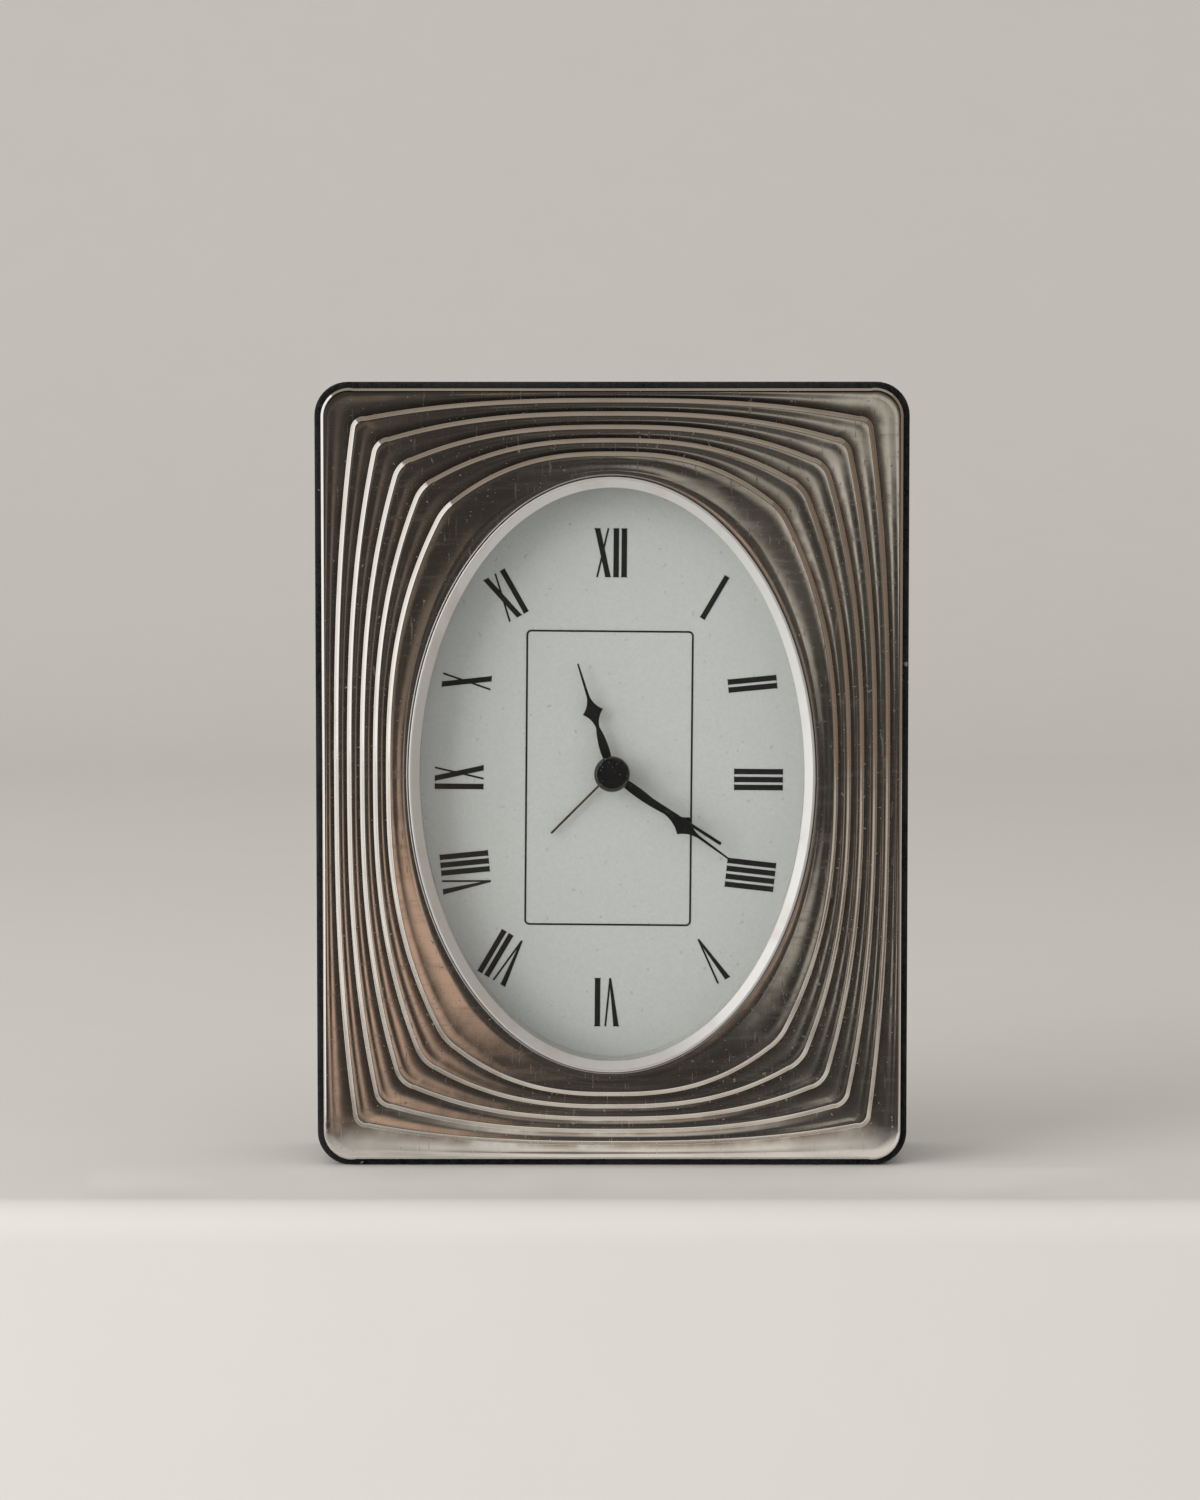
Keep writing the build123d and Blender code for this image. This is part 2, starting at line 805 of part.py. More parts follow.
def make_movement_cover():
    outline = RectangleRounded(movement_width, movement_height, movement_corner_radius)
    cover = slab(at((0, 0)) * outline, cover_front, cover_back)
    hatch = Rectangle(door_width + 2 * door_clearance, door_height + 2 * door_clearance)
    cover -= slab(at((0, door_middle)) * hatch, cover_front, cover_back)
    for place in (motion_place, alarm_place):
        cover -= rod(place, setting_arbor_radius + running_gap, cover_front, cover_back)
    slot = Rectangle(switch_stem_width + switch_travel + 2 * switch_gap, switch_stem_height + 2 * switch_gap)
    cover -= slab(at((switch_x - switch_travel / 2, switch_rise)) * slot, cover_front, cover_back)
    for place in cover_post_places:
        cover -= rod(place, cover_screw[2] + screw_hole_gap, cover_front, cover_back)
    for place in sound_hole_places():
        cover -= rod(place, sound_hole_radius, cover_front, cover_back)
    return cover


def sound_hole_places():
    ring = [around(360 * i / sound_hole_count, sound_ring_radius) for i in range(sound_hole_count)]
    return [(buzzer_x + x, buzzer_rise + z) for x, z in [(0, 0)] + ring]


# Wheels

def involute(angle):
    return tan(angle) - angle


def gear_outline(teeth, module, phase):
    """Spur gear with a tooth centred at the phase, in degrees. Flanks are chords of the involute."""
    pitch_radius = teeth * module / 2
    base_radius = pitch_radius * cos(radians(pressure_angle))
    tip_radius = pitch_radius + addendum_share * module
    root_radius = pitch_radius - dedendum_share * module
    half_tooth = (pi / 2 - backlash_share) / teeth + involute(radians(pressure_angle))

    def flank_angle(radius):
        return half_tooth - involute(acos(min(1, base_radius / radius)))

    flank_radii = [root_radius, base_radius] if root_radius < base_radius else [root_radius]
    flank = [(radius, flank_angle(max(radius, base_radius))) for radius in flank_radii + [tip_radius]]
    points = []
    for tooth in range(teeth):
        middle = radians(phase) + 2 * pi * tooth / teeth
        rising = [(radius, middle - angle) for radius, angle in flank]
        falling = [(radius, middle + angle) for radius, angle in reversed(flank)]
        points += [(radius * cos(angle), radius * sin(angle)) for radius, angle in rising + falling]
    return make_face(Polyline(*points, close=True))


def gear(place, teeth, module, phase, bore, front, back):
    outline = gear_outline(teeth, module, phase)
    if bore > 0:
        outline -= Circle(bore)
    return slab(at(place) * outline, front, back)


def pair_module(distance, teeth, other_teeth):
    return 2 * distance / (teeth + other_teeth)


def driven_phase(direction, teeth):
    """Phase of a gear that meets a tooth coming from a direction."""
    return direction + 180 + 180 / teeth


rotor_module = pair_module(rotor_distance, rotor_teeth, fifth_teeth)
fifth_module = pair_module(fifth_distance, fifth_pinion_teeth, second_teeth)
second_module = pair_module(third_distance, second_pinion_teeth, third_teeth)
third_module = pair_module(third_distance, third_pinion_teeth, centre_teeth)
cannon_module = pair_module(motion_distance, cannon_teeth, motion_teeth)
motion_module = pair_module(motion_distance, motion_pinion_teeth, hour_teeth)
alarm_module = pair_module(alarm_distance, alarm_pinion_teeth, alarm_teeth)


def train_arbor(place):
    """Plain arbor that runs in the train plate and the bridge."""
    return rod(place, pivot_radius, train_plate_back - pivot_depth, bridge_front + pivot_depth)


def make_rotor_pinion():
    front = fifth_wheel_front - pinion_overlap
    pinion = gear(rotor_place, rotor_teeth, rotor_module, rotor_direction + 180, 0, front, magnet_front)
    return pinion + train_arbor(rotor_place)


def make_rotor_magnet():
    ring = Circle(magnet_radius) - Circle(pivot_radius)
    return slab(at(rotor_place) * ring, magnet_front, magnet_front + magnet_thickness)


def make_fifth_wheel():
    wheel_back = fifth_wheel_front + train_wheel_thickness
    phase = driven_phase(rotor_direction + 180, fifth_teeth)
    wheel = gear(fifth_place, fifth_teeth, rotor_module, phase, 0, fifth_wheel_front, wheel_back)
    pinion_front = second_wheel_front - pinion_overlap
    phase = fifth_direction + 180
    pinion = gear(fifth_place, fifth_pinion_teeth, fifth_module, phase, 0, pinion_front, fifth_wheel_front)
    return wheel + pinion + train_arbor(fifth_place)


def make_second_wheel():
    wheel_back = second_wheel_front + train_wheel_thickness
    phase = driven_phase(fifth_direction + 180, second_teeth)
    wheel = gear((0, 0), second_teeth, fifth_module, phase, 0, second_wheel_front, wheel_back)
    pinion_front = third_wheel_front - pinion_overlap
    phase = third_direction
    pinion = gear((0, 0), second_pinion_teeth, second_module, phase, 0, pinion_front, second_wheel_front)
    arbor = rod((0, 0), second_arbor_radius, second_hand_front, bridge_front + pivot_depth)
    return wheel + pinion + arbor


def make_third_wheel():
    wheel_back = third_wheel_front + train_wheel_thickness
    phase = driven_phase(third_direction, third_teeth)
    wheel = gear(third_place, third_teeth, second_module, phase, 0, third_wheel_front, wheel_back)
    pinion_front = centre_wheel_front - pinion_overlap
    phase = third_direction + 180
    pinion = gear(third_place, third_pinion_teeth, third_module, phase, 0, pinion_front, third_wheel_front)
    return wheel + pinion + train_arbor(third_place)


def make_centre_wheel():
    back = centre_wheel_front + train_wheel_thickness
    phase = driven_phase(third_direction + 180, centre_teeth)
    bore = minute_radius + running_gap
    return gear((0, 0), centre_teeth, third_module, phase, bore, centre_wheel_front, back)


def make_minute_arbor():
    """Cannon pinion on a tube that carries the minute hand and, behind it, the slipping centre wheel."""
    front = motion_wheel_front - pinion_overlap
    back = motion_wheel_front + motion_wheel_thickness + pinion_overlap
    pinion = gear((0, 0), cannon_teeth, cannon_module, motion_direction, minute_bore, front, back)
    tube = Circle(minute_radius) - Circle(minute_bore)
    tube_back = centre_wheel_front + train_wheel_thickness + pinion_overlap
    return pinion + slab(at((0, 0)) * tube, minute_hand_front, tube_back)


def setting_arbor(place):
    """Arbor from a pivot in the movement's front wall out to a knob at the back."""
    pivot = rod(place, pivot_radius, bay_front - pivot_depth, alarm_wheel_front)
    return pivot + rod(place, setting_arbor_radius, alarm_wheel_front, cover_back + knob_gap + knob_height)


def make_motion_wheel():
    back = motion_wheel_front + motion_wheel_thickness
    phase = driven_phase(motion_direction, motion_teeth)
    wheel = gear(motion_place, motion_teeth, cannon_module, phase, 0, motion_wheel_front, back)
    front = hour_wheel_front - pinion_overlap
    phase = motion_direction + 180
    pinion = gear(motion_place, motion_pinion_teeth, motion_module, phase, 0, front, motion_wheel_front)
    return wheel + pinion + setting_arbor(motion_place)


def make_hour_wheel():
    back = hour_wheel_front + motion_wheel_thickness
    phase = driven_phase(motion_direction + 180, hour_teeth)
    wheel = gear((0, 0), hour_teeth, motion_module, phase, hour_bore, hour_wheel_front, back)
    tube = Circle(hour_radius) - Circle(hour_bore)
    return wheel + slab(at((0, 0)) * tube, hour_hand_front, hour_wheel_front)


def make_alarm_wheel():
    back = alarm_wheel_front + motion_wheel_thickness
    phase = driven_phase(alarm_direction + 180, alarm_teeth)
    wheel = gear((0, 0), alarm_teeth, alarm_module, phase, alarm_bore, alarm_wheel_front, back)
    tube = Circle(alarm_radius) - Circle(alarm_bore)
    return wheel + slab(at((0, 0)) * tube, alarm_hand_front, alarm_wheel_front)


def make_alarm_arbor():
    back = alarm_wheel_front + motion_wheel_thickness + pinion_overlap
    phase = alarm_direction + 180
    pinion = gear(alarm_place, alarm_pinion_teeth, alarm_module, phase, 0, alarm_wheel_front, back)
    return pinion + setting_arbor(alarm_place)


# Plates of the movement

def train_plate_outline():
    width = 2 * plate_half_width
    height = plate_top - plate_bottom
    return at((0, (plate_top + plate_bottom) / 2)) * RectangleRounded(width, height, pillar_inset)


def make_train_plate():
    plate = slab(train_plate_outline(), train_plate_front, train_plate_back)
    for x in (-stator_pin_x, stator_pin_x):
        tab_reach = stator_pin_base_radius + stator_tab_margin
        tab_height = coil_rise + tab_reach - plate_top + pillar_inset
        tab = Rectangle(2 * tab_reach, tab_height, align=(Align.CENTER, Align.MIN))
        plate += slab(at((x, plate_top - pillar_inset)) * tab, train_plate_front, train_plate_back)
        plate += rod((x, coil_rise), stator_pin_base_radius, train_plate_back, core_front())
        plate += rod((x, coil_rise), stator_pin_radius, core_front(), stator_back())
    for place in pillar_places:
        plate += rod(place, pillar_radius, train_plate_back, bridge_front)
        plate -= screw_hole((place[0], centre_height + place[1]), bridge_screw, bridge_back)
    plate -= rod((0, 0), minute_radius + running_gap, train_plate_front, train_plate_back)
    for place in (third_place, fifth_place, rotor_place):
        plate -= rod(place, pivot_radius + running_gap, train_plate_back - pivot_depth, train_plate_back)
    for place in (motion_place, alarm_place):
        plate -= rod(place, setting_arbor_radius + running_gap, train_plate_front, train_plate_back)
    return plate


def make_train_bridge():
    plate = slab(train_plate_outline(), bridge_front, bridge_back)
    for place in ((0, 0), third_place, fifth_place, rotor_place):
        plate -= rod(place, pivot_radius + running_gap, bridge_front, bridge_front + pivot_depth)
    for place in (motion_place, alarm_place):
        plate -= rod(place, setting_arbor_radius + running_gap, bridge_front, bridge_back)
    for place in pillar_places:
        plate -= rod(place, bridge_screw[2] + screw_hole_gap, bridge_front, bridge_back)
    return plate


# Stepping motor

def stator_front():
    return magnet_front + (magnet_thickness - stator_thickness) / 2


def stator_back():
    return stator_front() + stator_thickness


def core_front():
    return stator_front() - core_thickness


def make_stator():
    """Horseshoe plate: a yoke round the rotor and an arm up to each end of the coil's core."""
    arm_top = coil_rise + core_height / 2
    yoke_bottom = rotor_place[1] - yoke_height / 2
    height = arm_top - yoke_bottom
    window_height = height - yoke_height
    outline = at((0, yoke_bottom + height / 2)) * Rectangle(2 * stator_half_width, height)
    window = Rectangle(2 * (stator_half_width - stator_arm), window_height)
    outline -= at((0, arm_top - window_height / 2)) * window
    outline -= at(rotor_place) * Circle(magnet_radius + stator_gap)
    for x in (-stator_pin_x, stator_pin_x):
        outline -= at((x, coil_rise)) * Circle(stator_pin_radius)
    return slab(outline, stator_front(), stator_back())


def make_coil_core():
    outline = at((0, coil_rise)) * Rectangle(2 * stator_half_width, core_height)
    for x in (-stator_pin_x, stator_pin_x):
        outline -= at((x, coil_rise)) * Circle(stator_pin_radius)
    return slab(outline, core_front(), stator_front())


def side_plane(x, depth, rise):
    """Plane square to X, at a depth and a height over the hands' centre."""
    origin = (x, depth - total_depth / 2, centre_height + rise)
    return Plane(origin=origin, x_dir=(0, 1, 0), z_dir=(1, 0, 0))


def coil_plane(along):
    """Plane across the coil, at a distance along it."""
    return side_plane(along - coil_length / 2, coil_middle, coil_rise)


def bobbin_radius():
    return core_height / 2 + core_clearance + bobbin_wall


def make_coil_bobbin():
    spool = extrude(coil_plane(0) * Circle(bobbin_radius()), coil_length)
    for along in (0, coil_length - bobbin_flange):
        spool += extrude(coil_plane(along) * Circle(flange_radius), bobbin_flange)
    slot = Rectangle(core_thickness + 2 * core_clearance, core_height + 2 * core_clearance)
    return spool - extrude(coil_plane(0) * slot, coil_length)


def make_coil_winding():
    ring = Circle(winding_radius) - Circle(bobbin_radius())
    return extrude(coil_plane(bobbin_flange) * ring, coil_length - 2 * bobbin_flange)


# Electronics

def board_front():
    return bay_front + board_post_height


def board_post_places():
    reach = board_height / 2 - board_post_radius
    return [(board_x, board_rise - reach), (board_x, board_rise + reach)]


def make_circuit_board():
    board = Rectangle(board_width, board_height)
    return slab(at((board_x, board_rise)) * board, board_front(), board_front() + board_thickness)


def make_quartz_crystal():
    depth = board_front() + board_thickness + crystal_radius
    foot = centre_height + board_rise + crystal_length / 2
    plane = Plane(origin=(board_x, depth - total_depth / 2, foot), z_dir=(0, 0, 1))
    return extrude(plane * Circle(crystal_radius), crystal_length)


def make_timing_chip():
    back = board_front() + board_thickness
    chip = rod((board_x, board_rise - board_height / 4), chip_radius, back, back + chip_height)
    return fillet(back_edges(chip), chip_height / 2)


def make_buzzer():
    return rod((buzzer_x, buzzer_rise), buzzer_radius, cover_front - buzzer_thickness, cover_front)


# Battery

def battery_plane(x):
    return side_plane(x, bay_front + battery_gap + battery_radius, bay_middle)


def make_battery():
    can_length = battery_length - battery_nub_length
    can = extrude(battery_plane(-battery_length / 2) * Circle(battery_radius), can_length)
    can = fillet(can.edges().filter_by(GeomType.CIRCLE), battery_round)
    nub_plane = battery_plane(-battery_length / 2 + can_length)
    return can + extrude(nub_plane * Circle(battery_nub_radius), battery_nub_length)


def make_battery_contact_plus():
    blade = Rectangle(contact_width, contact_height)
    plate = extrude(battery_plane(inner_half_width - contact_thickness) * blade, contact_thickness)
    reach = inner_half_width - contact_thickness - battery_length / 2 - contact_gap
    nub_plane = battery_plane(battery_length / 2 + contact_gap)
    return plate + extrude(nub_plane * Circle(battery_nub_radius), reach)


def make_battery_contact_minus():
    """Leaf spring, bowed out from the bay's end wall to the battery."""
    half = contact_height / 2
    reach = inner_half_width - battery_length / 2 - contact_gap
    outer = ThreePointArc((0, -half), (reach, 0), (0, half))
    inner_half = half - contact_thickness
    inner = ThreePointArc((0, -inner_half), (reach - contact_thickness, 0), (0, inner_half))
    ends = [Line((0, -half), (0, -inner_half)), Line((0, half), (0, inner_half))]
    bow = make_face([outer, inner] + ends)
    front = bay_front + battery_gap + battery_radius - contact_width / 2
    return slab(at((-inner_half_width, bay_middle)) * bow, front, front + contact_width)


def make_battery_door():
    plug = at((0, door_middle)) * Rectangle(door_width, door_height)
    lid = at((0, door_middle)) * Rectangle(door_width + 2 * door_flange, door_height + 2 * door_flange)
    door = slab(plug, cover_front, cover_back) + slab(lid, cover_back, cover_back + door_flange_thickness)
    for i in range(door_grip_count):
        z = door_middle + (i - (door_grip_count - 1) / 2) * door_grip_pitch
        back = cover_back + door_flange_thickness
        grip = Rectangle(door_grip_width, door_grip_height)
        door += slab(at((0, z)) * grip, back, back + door_grip_thickness)
    return door


# Controls at the back

def knob(place):
    outline = Circle(knob_radius) - Circle(setting_arbor_radius)
    for i in range(knob_flute_count):
        outline -= Pos(*around(360 * i / knob_flute_count, knob_radius)) * Circle(knob_flute_radius)
    front = cover_back + knob_gap
    return slab(at(place) * outline, front, front + knob_height)


def make_alarm_switch():
    here = at((switch_x, switch_rise))
    flange_back = cover_front - switch_gap
    button_front = cover_back + switch_gap
    switch = slab(here * Rectangle(switch_stem_width, switch_stem_height), flange_back, button_front)
    flange = Rectangle(switch_flange_width, switch_flange_height)
    switch += slab(here * flange, flange_back - switch_flange_thickness, flange_back)
    button = Rectangle(switch_button_width, switch_button_height)
    button_back = button_front + switch_button_thickness
    switch += slab(here * button, button_front, button_back)
    groove_pitch = switch_button_width / (switch_groove_count + 1)
    for i in range(switch_groove_count):
        x = switch_x + (i + 1) * groove_pitch - switch_button_width / 2
        groove = at((x, switch_rise)) * Rectangle(switch_groove_width, switch_button_height)
        switch -= slab(groove, button_back - switch_groove_depth, button_back)
    return switch


pieces = {
    "silver_front": make_silver_front(),
    "bezel_ring": make_bezel_ring(),
    "glass": make_glass(),
    "spacer_ring": make_spacer_ring(),
    "dial": make_dial(),
    "dial_numerals": make_dial_numerals(),
    "dial_line": make_dial_line(),
    "hour_hand": make_hour_hand(),
    "minute_hand": make_minute_hand(),
    "second_hand": make_second_hand(),
    "second_cap": make_second_cap(),
    "alarm_hand": make_alarm_hand(),
    "velvet_case": make_velvet_case(),
    "back_panel": make_back_panel(),
    "back_screws": make_back_screws(),
    "dial_plate": make_dial_plate(),
    "dial_plate_screws": screws(plate_screw_places, plate_screw, movement_front),
    "movement_case": make_movement_case(),
    "movement_cover": make_movement_cover(),
    "cover_screws": screws(cover_post_places, cover_screw, cover_back),
    "movement_screws": screws(ear_places, ear_screw, movement_front + ear_thickness),
    "train_plate": make_train_plate(),
    "train_bridge": make_train_bridge(),
    "bridge_screws": screws(pillar_places, bridge_screw, bridge_back),
    "rotor_magnet": make_rotor_magnet(),
    "rotor_pinion": make_rotor_pinion(),
    "stator": make_stator(),
    "coil_core": make_coil_core(),
    "coil_bobbin": make_coil_bobbin(),
    "coil_winding": make_coil_winding(),
    "fifth_wheel": make_fifth_wheel(),
    "second_wheel": make_second_wheel(),
    "third_wheel": make_third_wheel(),
    "centre_wheel": make_centre_wheel(),
    "minute_arbor": make_minute_arbor(),
    "motion_wheel": make_motion_wheel(),
    "hour_wheel": make_hour_wheel(),
    "alarm_wheel": make_alarm_wheel(),
    "alarm_arbor": make_alarm_arbor(),
    "time_knob": knob(motion_place),
    "alarm_knob": knob(alarm_place),
    "alarm_switch": make_alarm_switch(),
    "circuit_board": make_circuit_board(),
    "quartz_crystal": make_quartz_crystal(),
    "timing_chip": make_timing_chip(),
    "buzzer": make_buzzer(),
    "battery": make_battery(),
    "battery_contact_plus": make_battery_contact_plus(),
    "battery_contact_minus": make_battery_contact_minus(),
    "battery_door": make_battery_door(),
}

os.makedirs("parts", exist_ok=True)
for name, piece in pieces.items():
    export_step(piece, f"parts/{name}.step")
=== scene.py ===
import math

import bmesh
import bpy
import numpy as np
from bpy.props import FloatProperty, FloatVectorProperty, IntProperty, PointerProperty
from mathutils import Matrix, Vector


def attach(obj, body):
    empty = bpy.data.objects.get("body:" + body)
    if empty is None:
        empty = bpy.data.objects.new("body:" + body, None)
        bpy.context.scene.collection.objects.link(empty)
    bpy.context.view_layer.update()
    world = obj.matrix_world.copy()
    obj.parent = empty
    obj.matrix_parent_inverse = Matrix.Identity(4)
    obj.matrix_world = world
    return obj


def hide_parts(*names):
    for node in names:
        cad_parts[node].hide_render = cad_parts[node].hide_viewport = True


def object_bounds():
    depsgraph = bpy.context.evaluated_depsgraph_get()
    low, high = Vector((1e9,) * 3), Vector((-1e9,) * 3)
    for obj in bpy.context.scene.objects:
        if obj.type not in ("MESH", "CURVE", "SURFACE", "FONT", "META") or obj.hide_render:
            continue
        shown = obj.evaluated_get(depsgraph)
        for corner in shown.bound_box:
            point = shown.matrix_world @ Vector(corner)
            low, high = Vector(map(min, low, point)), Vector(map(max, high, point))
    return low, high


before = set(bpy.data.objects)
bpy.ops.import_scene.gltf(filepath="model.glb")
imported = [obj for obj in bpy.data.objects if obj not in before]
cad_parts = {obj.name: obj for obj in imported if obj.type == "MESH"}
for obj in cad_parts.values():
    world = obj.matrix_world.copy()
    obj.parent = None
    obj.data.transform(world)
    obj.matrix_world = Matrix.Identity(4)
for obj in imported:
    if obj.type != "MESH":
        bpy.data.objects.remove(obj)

bl_info = {
    "name": "Desk Clock Looks",
    "version": (1, 0, 0),
    "blender": (4, 5, 0),
    "location": "View3D > Sidebar > Clock",
    "description": "Builds the silver front, velvet, dial and back finishes of a desk alarm clock",
    "category": "Object",
}

CAD_LOW, CAD_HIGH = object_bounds()
FRONT = CAD_LOW.y
MIDDLE = (CAD_LOW.z + CAD_HIGH.z) / 2

# How finely the silver's outlines are drawn
BOW_SAMPLES, BOW_OVERRUN = 500, 1.08
CORNER_SAMPLES, OVAL_SAMPLES = 120, 600
SIDE_POINTS, CORNER_POINTS, TOP_POINTS = 90, 44, 64
SHARP_ANGLE = math.radians(50)

SENSOR_SIDE = 36.0
LAMP_AIM = (0.0, 0.0, 0.06)


# Sizes and colours that a user would change

def length(name, description, default):
    return FloatProperty(name=name, description=description, default=default, unit="LENGTH", precision=5)


def colour(name, description, default):
    return FloatVectorProperty(
        name=name, description=description, default=default, size=3, subtype="COLOR", min=0.0, max=1.0
    )


def angle(name, description, default):
    return FloatProperty(name=name, description=description, default=math.radians(default), subtype="ANGLE")


class ClockSilverSizes(bpy.types.PropertyGroup):
    width: length("Width", "Width of the silver front", 0.090)
    height: length("Height", "Height of the silver front", 0.120)
    corner: length("Corner radius", "Rounding of the outer corners", 0.0045)
    ridges: IntProperty(
        name="Ridges", description="Steps between the edge and the oval", default=5, min=1, max=8
    )
    pitch: length("Ridge pitch", "Ridge to ridge at the middle of each side", 0.00205)
    corner_inset_x: length("First corner across", "Edge to the first ridge's corner, across", 0.005)
    corner_inset_z: length("First corner up", "Edge to the first ridge's corner, upwards", 0.00525)
    corner_pitch: length("Corner pitch", "Ridge to ridge at the corners, across and upwards", 0.00345)
    bow_power: FloatProperty(name="Bow", description="How late a side bends in towards its ends", default=2.6)
    ridge_corner: length("Ridge corner radius", "Corner radius of the outer ridge", 0.002)
    ridge_growth: FloatProperty(
        name="Corner growth", description="Each corner radius over the last", default=1.45
    )
    step: length("Step height", "Height of each step", 0.0008)
    nose: length("Edge radius", "Rounding of the outer edge", 0.00065)
    slope: angle("Step slope", "Slope of a pressed step", 52.0)
    bend: length("Step bend", "Radius of the bends above and below a step's slope", 0.00022)
    foot: length("Step foot", "How far a step's hollow foot runs out over the tread below", 0.0002)
    skirt: length("Skirt", "Height of the turned-down edge", 0.0012)
    crest: length("Crest", "Innermost step behind the bezel's front", 0.0008)
    oval_width: length("Oval width", "Width of the oval opening", 0.063)
    oval_height: length("Oval height", "Height of the oval opening", 0.0923)
    oval_rise: length("Oval rise", "Centre of the oval and the ridges over the middle", 0.0004)
    collar: length("Collar rounding", "Rounding into the oval", 0.0003)
    dish: length("Dish", "How far each tread is hollowed by the press", 0.00005)


class ClockColours(bpy.types.PropertyGroup):
    silver: colour("Silver", "Polished silver", (0.78, 0.755, 0.72))
    tarnish: colour("Tarnish", "Brown film in the creases", (0.30, 0.225, 0.165))
    bezel: colour("Bezel", "Bright ring round the dial", (0.64, 0.635, 0.625))
    dial: colour("Dial", "Matt pale dial", (0.485, 0.50, 0.497))
    ink: colour("Ink", "Black print", (0.010, 0.010, 0.011))
    lacquer: colour("Lacquer", "Black hands", (0.008, 0.008, 0.009))
    bronze: colour("Bronze", "Alarm hand", (0.16, 0.105, 0.05))
    velvet: colour("Velvet", "Black velvet", (0.010, 0.0095, 0.010))
    lint: colour("Lint", "Dust on the velvet", (0.35, 0.34, 0.32))
    plastic: colour("Plastic", "Black moulded plastic", (0.022, 0.022, 0.024))
    steel: colour("Steel", "Screws and plates", (0.56, 0.56, 0.57))


class ClockStage(bpy.types.PropertyGroup):
    distance: length("Camera distance", "Camera to the middle of the silver", 0.697)
    elevation: angle("Camera height", "Camera above the level of the clock's middle", 4.5)
    aim_left: angle("Aim left", "How far left of the clock's middle the camera aims", 0.152)
    aim_up: angle("Aim up", "How far above the clock's middle the camera aims", 0.364)
    focal: FloatProperty(
        name="Focal length", description="Lens on a 36 mm long side", default=108.65, unit="CAMERA"
    )
    floor: colour("Floor", "Pale floor", (0.62, 0.605, 0.58))
    backdrop: colour("Backdrop", "Pale background", (0.80, 0.78, 0.75))
    shade: colour("Dark card", "Card in front of the clock that the flat silver shows", (0.036, 0.032, 0.029))
    blush: colour("Warm patch", "Patch low on the left of that card", (0.60, 0.41, 0.30))
    cream: colour("Pale patch", "Patches on the right of that card", (0.54, 0.50, 0.43))
    window: colour("White card", "Card to the left that the ridges show", (1.0, 0.985, 0.965))
    low: colour("Low card", "Card on the floor that the lowest ridges show", (0.82, 0.775, 0.715))
    brown: colour("Brown card", "Cards above and to the right that the ridges show", (0.24, 0.185, 0.142))
    floor_front: length("Floor front", "Floor's front edge before the clock's middle", 0.045)


# Shader graphs

class Value:
    """A socket that takes part in Python sums."""

    def __init__(self, finish, socket):
        self.finish = finish
        self.socket = socket

    def math(self, operation, first, second):
        return self.finish.add("ShaderNodeMath", {"operation": operation}, {0: first, 1: second})

    def __add__(self, other):
        return self.math("ADD", self, other)

    def __radd__(self, other):
        return self.math("ADD", other, self)

    def __sub__(self, other):
        return self.math("SUBTRACT", self, other)

    def __rsub__(self, other):
        return self.math("SUBTRACT", other, self)

    def __mul__(self, other):
        return self.math("MULTIPLY", self, other)

    def __rmul__(self, other):
        return self.math("MULTIPLY", other, self)


class Finish:
    """Node graph of one material or of the world, with one method that adds any node."""

    def __init__(self, name, tree=None):
        self.material = None
        if tree is None:
            self.material = bpy.data.materials.new(name)
            self.material.use_nodes = True
            tree = self.material.node_tree
        self.tree = tree
        self.tree.nodes.clear()
        self.places = None

    def add(self, kind, settings=None, sockets=None, out=0):
        node = self.tree.nodes.new(kind)
        for name, setting in (settings or {}).items():
            setattr(node, name, setting)
        for name, given in (sockets or {}).items():
            if isinstance(given, Value):
                self.tree.links.new(given.socket, node.inputs[name])
            else:
                node.inputs[name].default_value = given
        return Value(self, node.outputs[out]) if len(node.outputs) else None

    def place(self):
        """Position on the object, in metres."""
        if self.places is None:
            self.places = self.add("ShaderNodeTexCoord", out=3)
        return self.places

    def stretched(self, scale, turn=(0.0, 0.0, 0.0)):
        return self.add("ShaderNodeMapping", {}, {"Vector": self.place(), "Scale": scale, "Rotation": turn})

    def noise(self, scale, detail=3.0, rough=0.55, vector=None):
        sockets = {"Vector": vector or self.place(), "Scale": scale, "Detail": detail, "Roughness": rough}
        return self.add("ShaderNodeTexNoise", {}, sockets)

    def mask(self, value, low, high):
        """0 below low, 1 above high."""
        sockets = {"Value": value, "From Min": low, "From Max": high}
        return self.add("ShaderNodeMapRange", {"interpolation_type": "SMOOTHSTEP"}, sockets)

    def mix(self, factor, first, second):
        first, second = [c if isinstance(c, Value) else (*c, 1.0) for c in (first, second)]
        return self.add("ShaderNodeMix", {"data_type": "RGBA"}, {0: factor, 6: first, 7: second}, out=2)

    def bump(self, height, distance, strength=1.0):
        return self.add("ShaderNodeBump", {}, {"Height": height, "Distance": distance, "Strength": strength})

    def surface(self, **sockets):
        """Finishes the material with one principled shader."""
        names = {name.replace("_", " "): given for name, given in sockets.items()}
        for name, given in names.items():
            if name in ("Base Color", "Sheen Tint", "Specular Tint") and not isinstance(given, Value):
                names[name] = (*given, 1.0)
        shader = self.add("ShaderNodeBsdfPrincipled", {}, names)
        self.close(shader)
        return self.material

    def close(self, shader):
        self.add("ShaderNodeOutputMaterial", {}, {"Surface": shader})


def tint(tone, factor):
    return tuple(min(1.0, c * factor) for c in tone)


# Materials

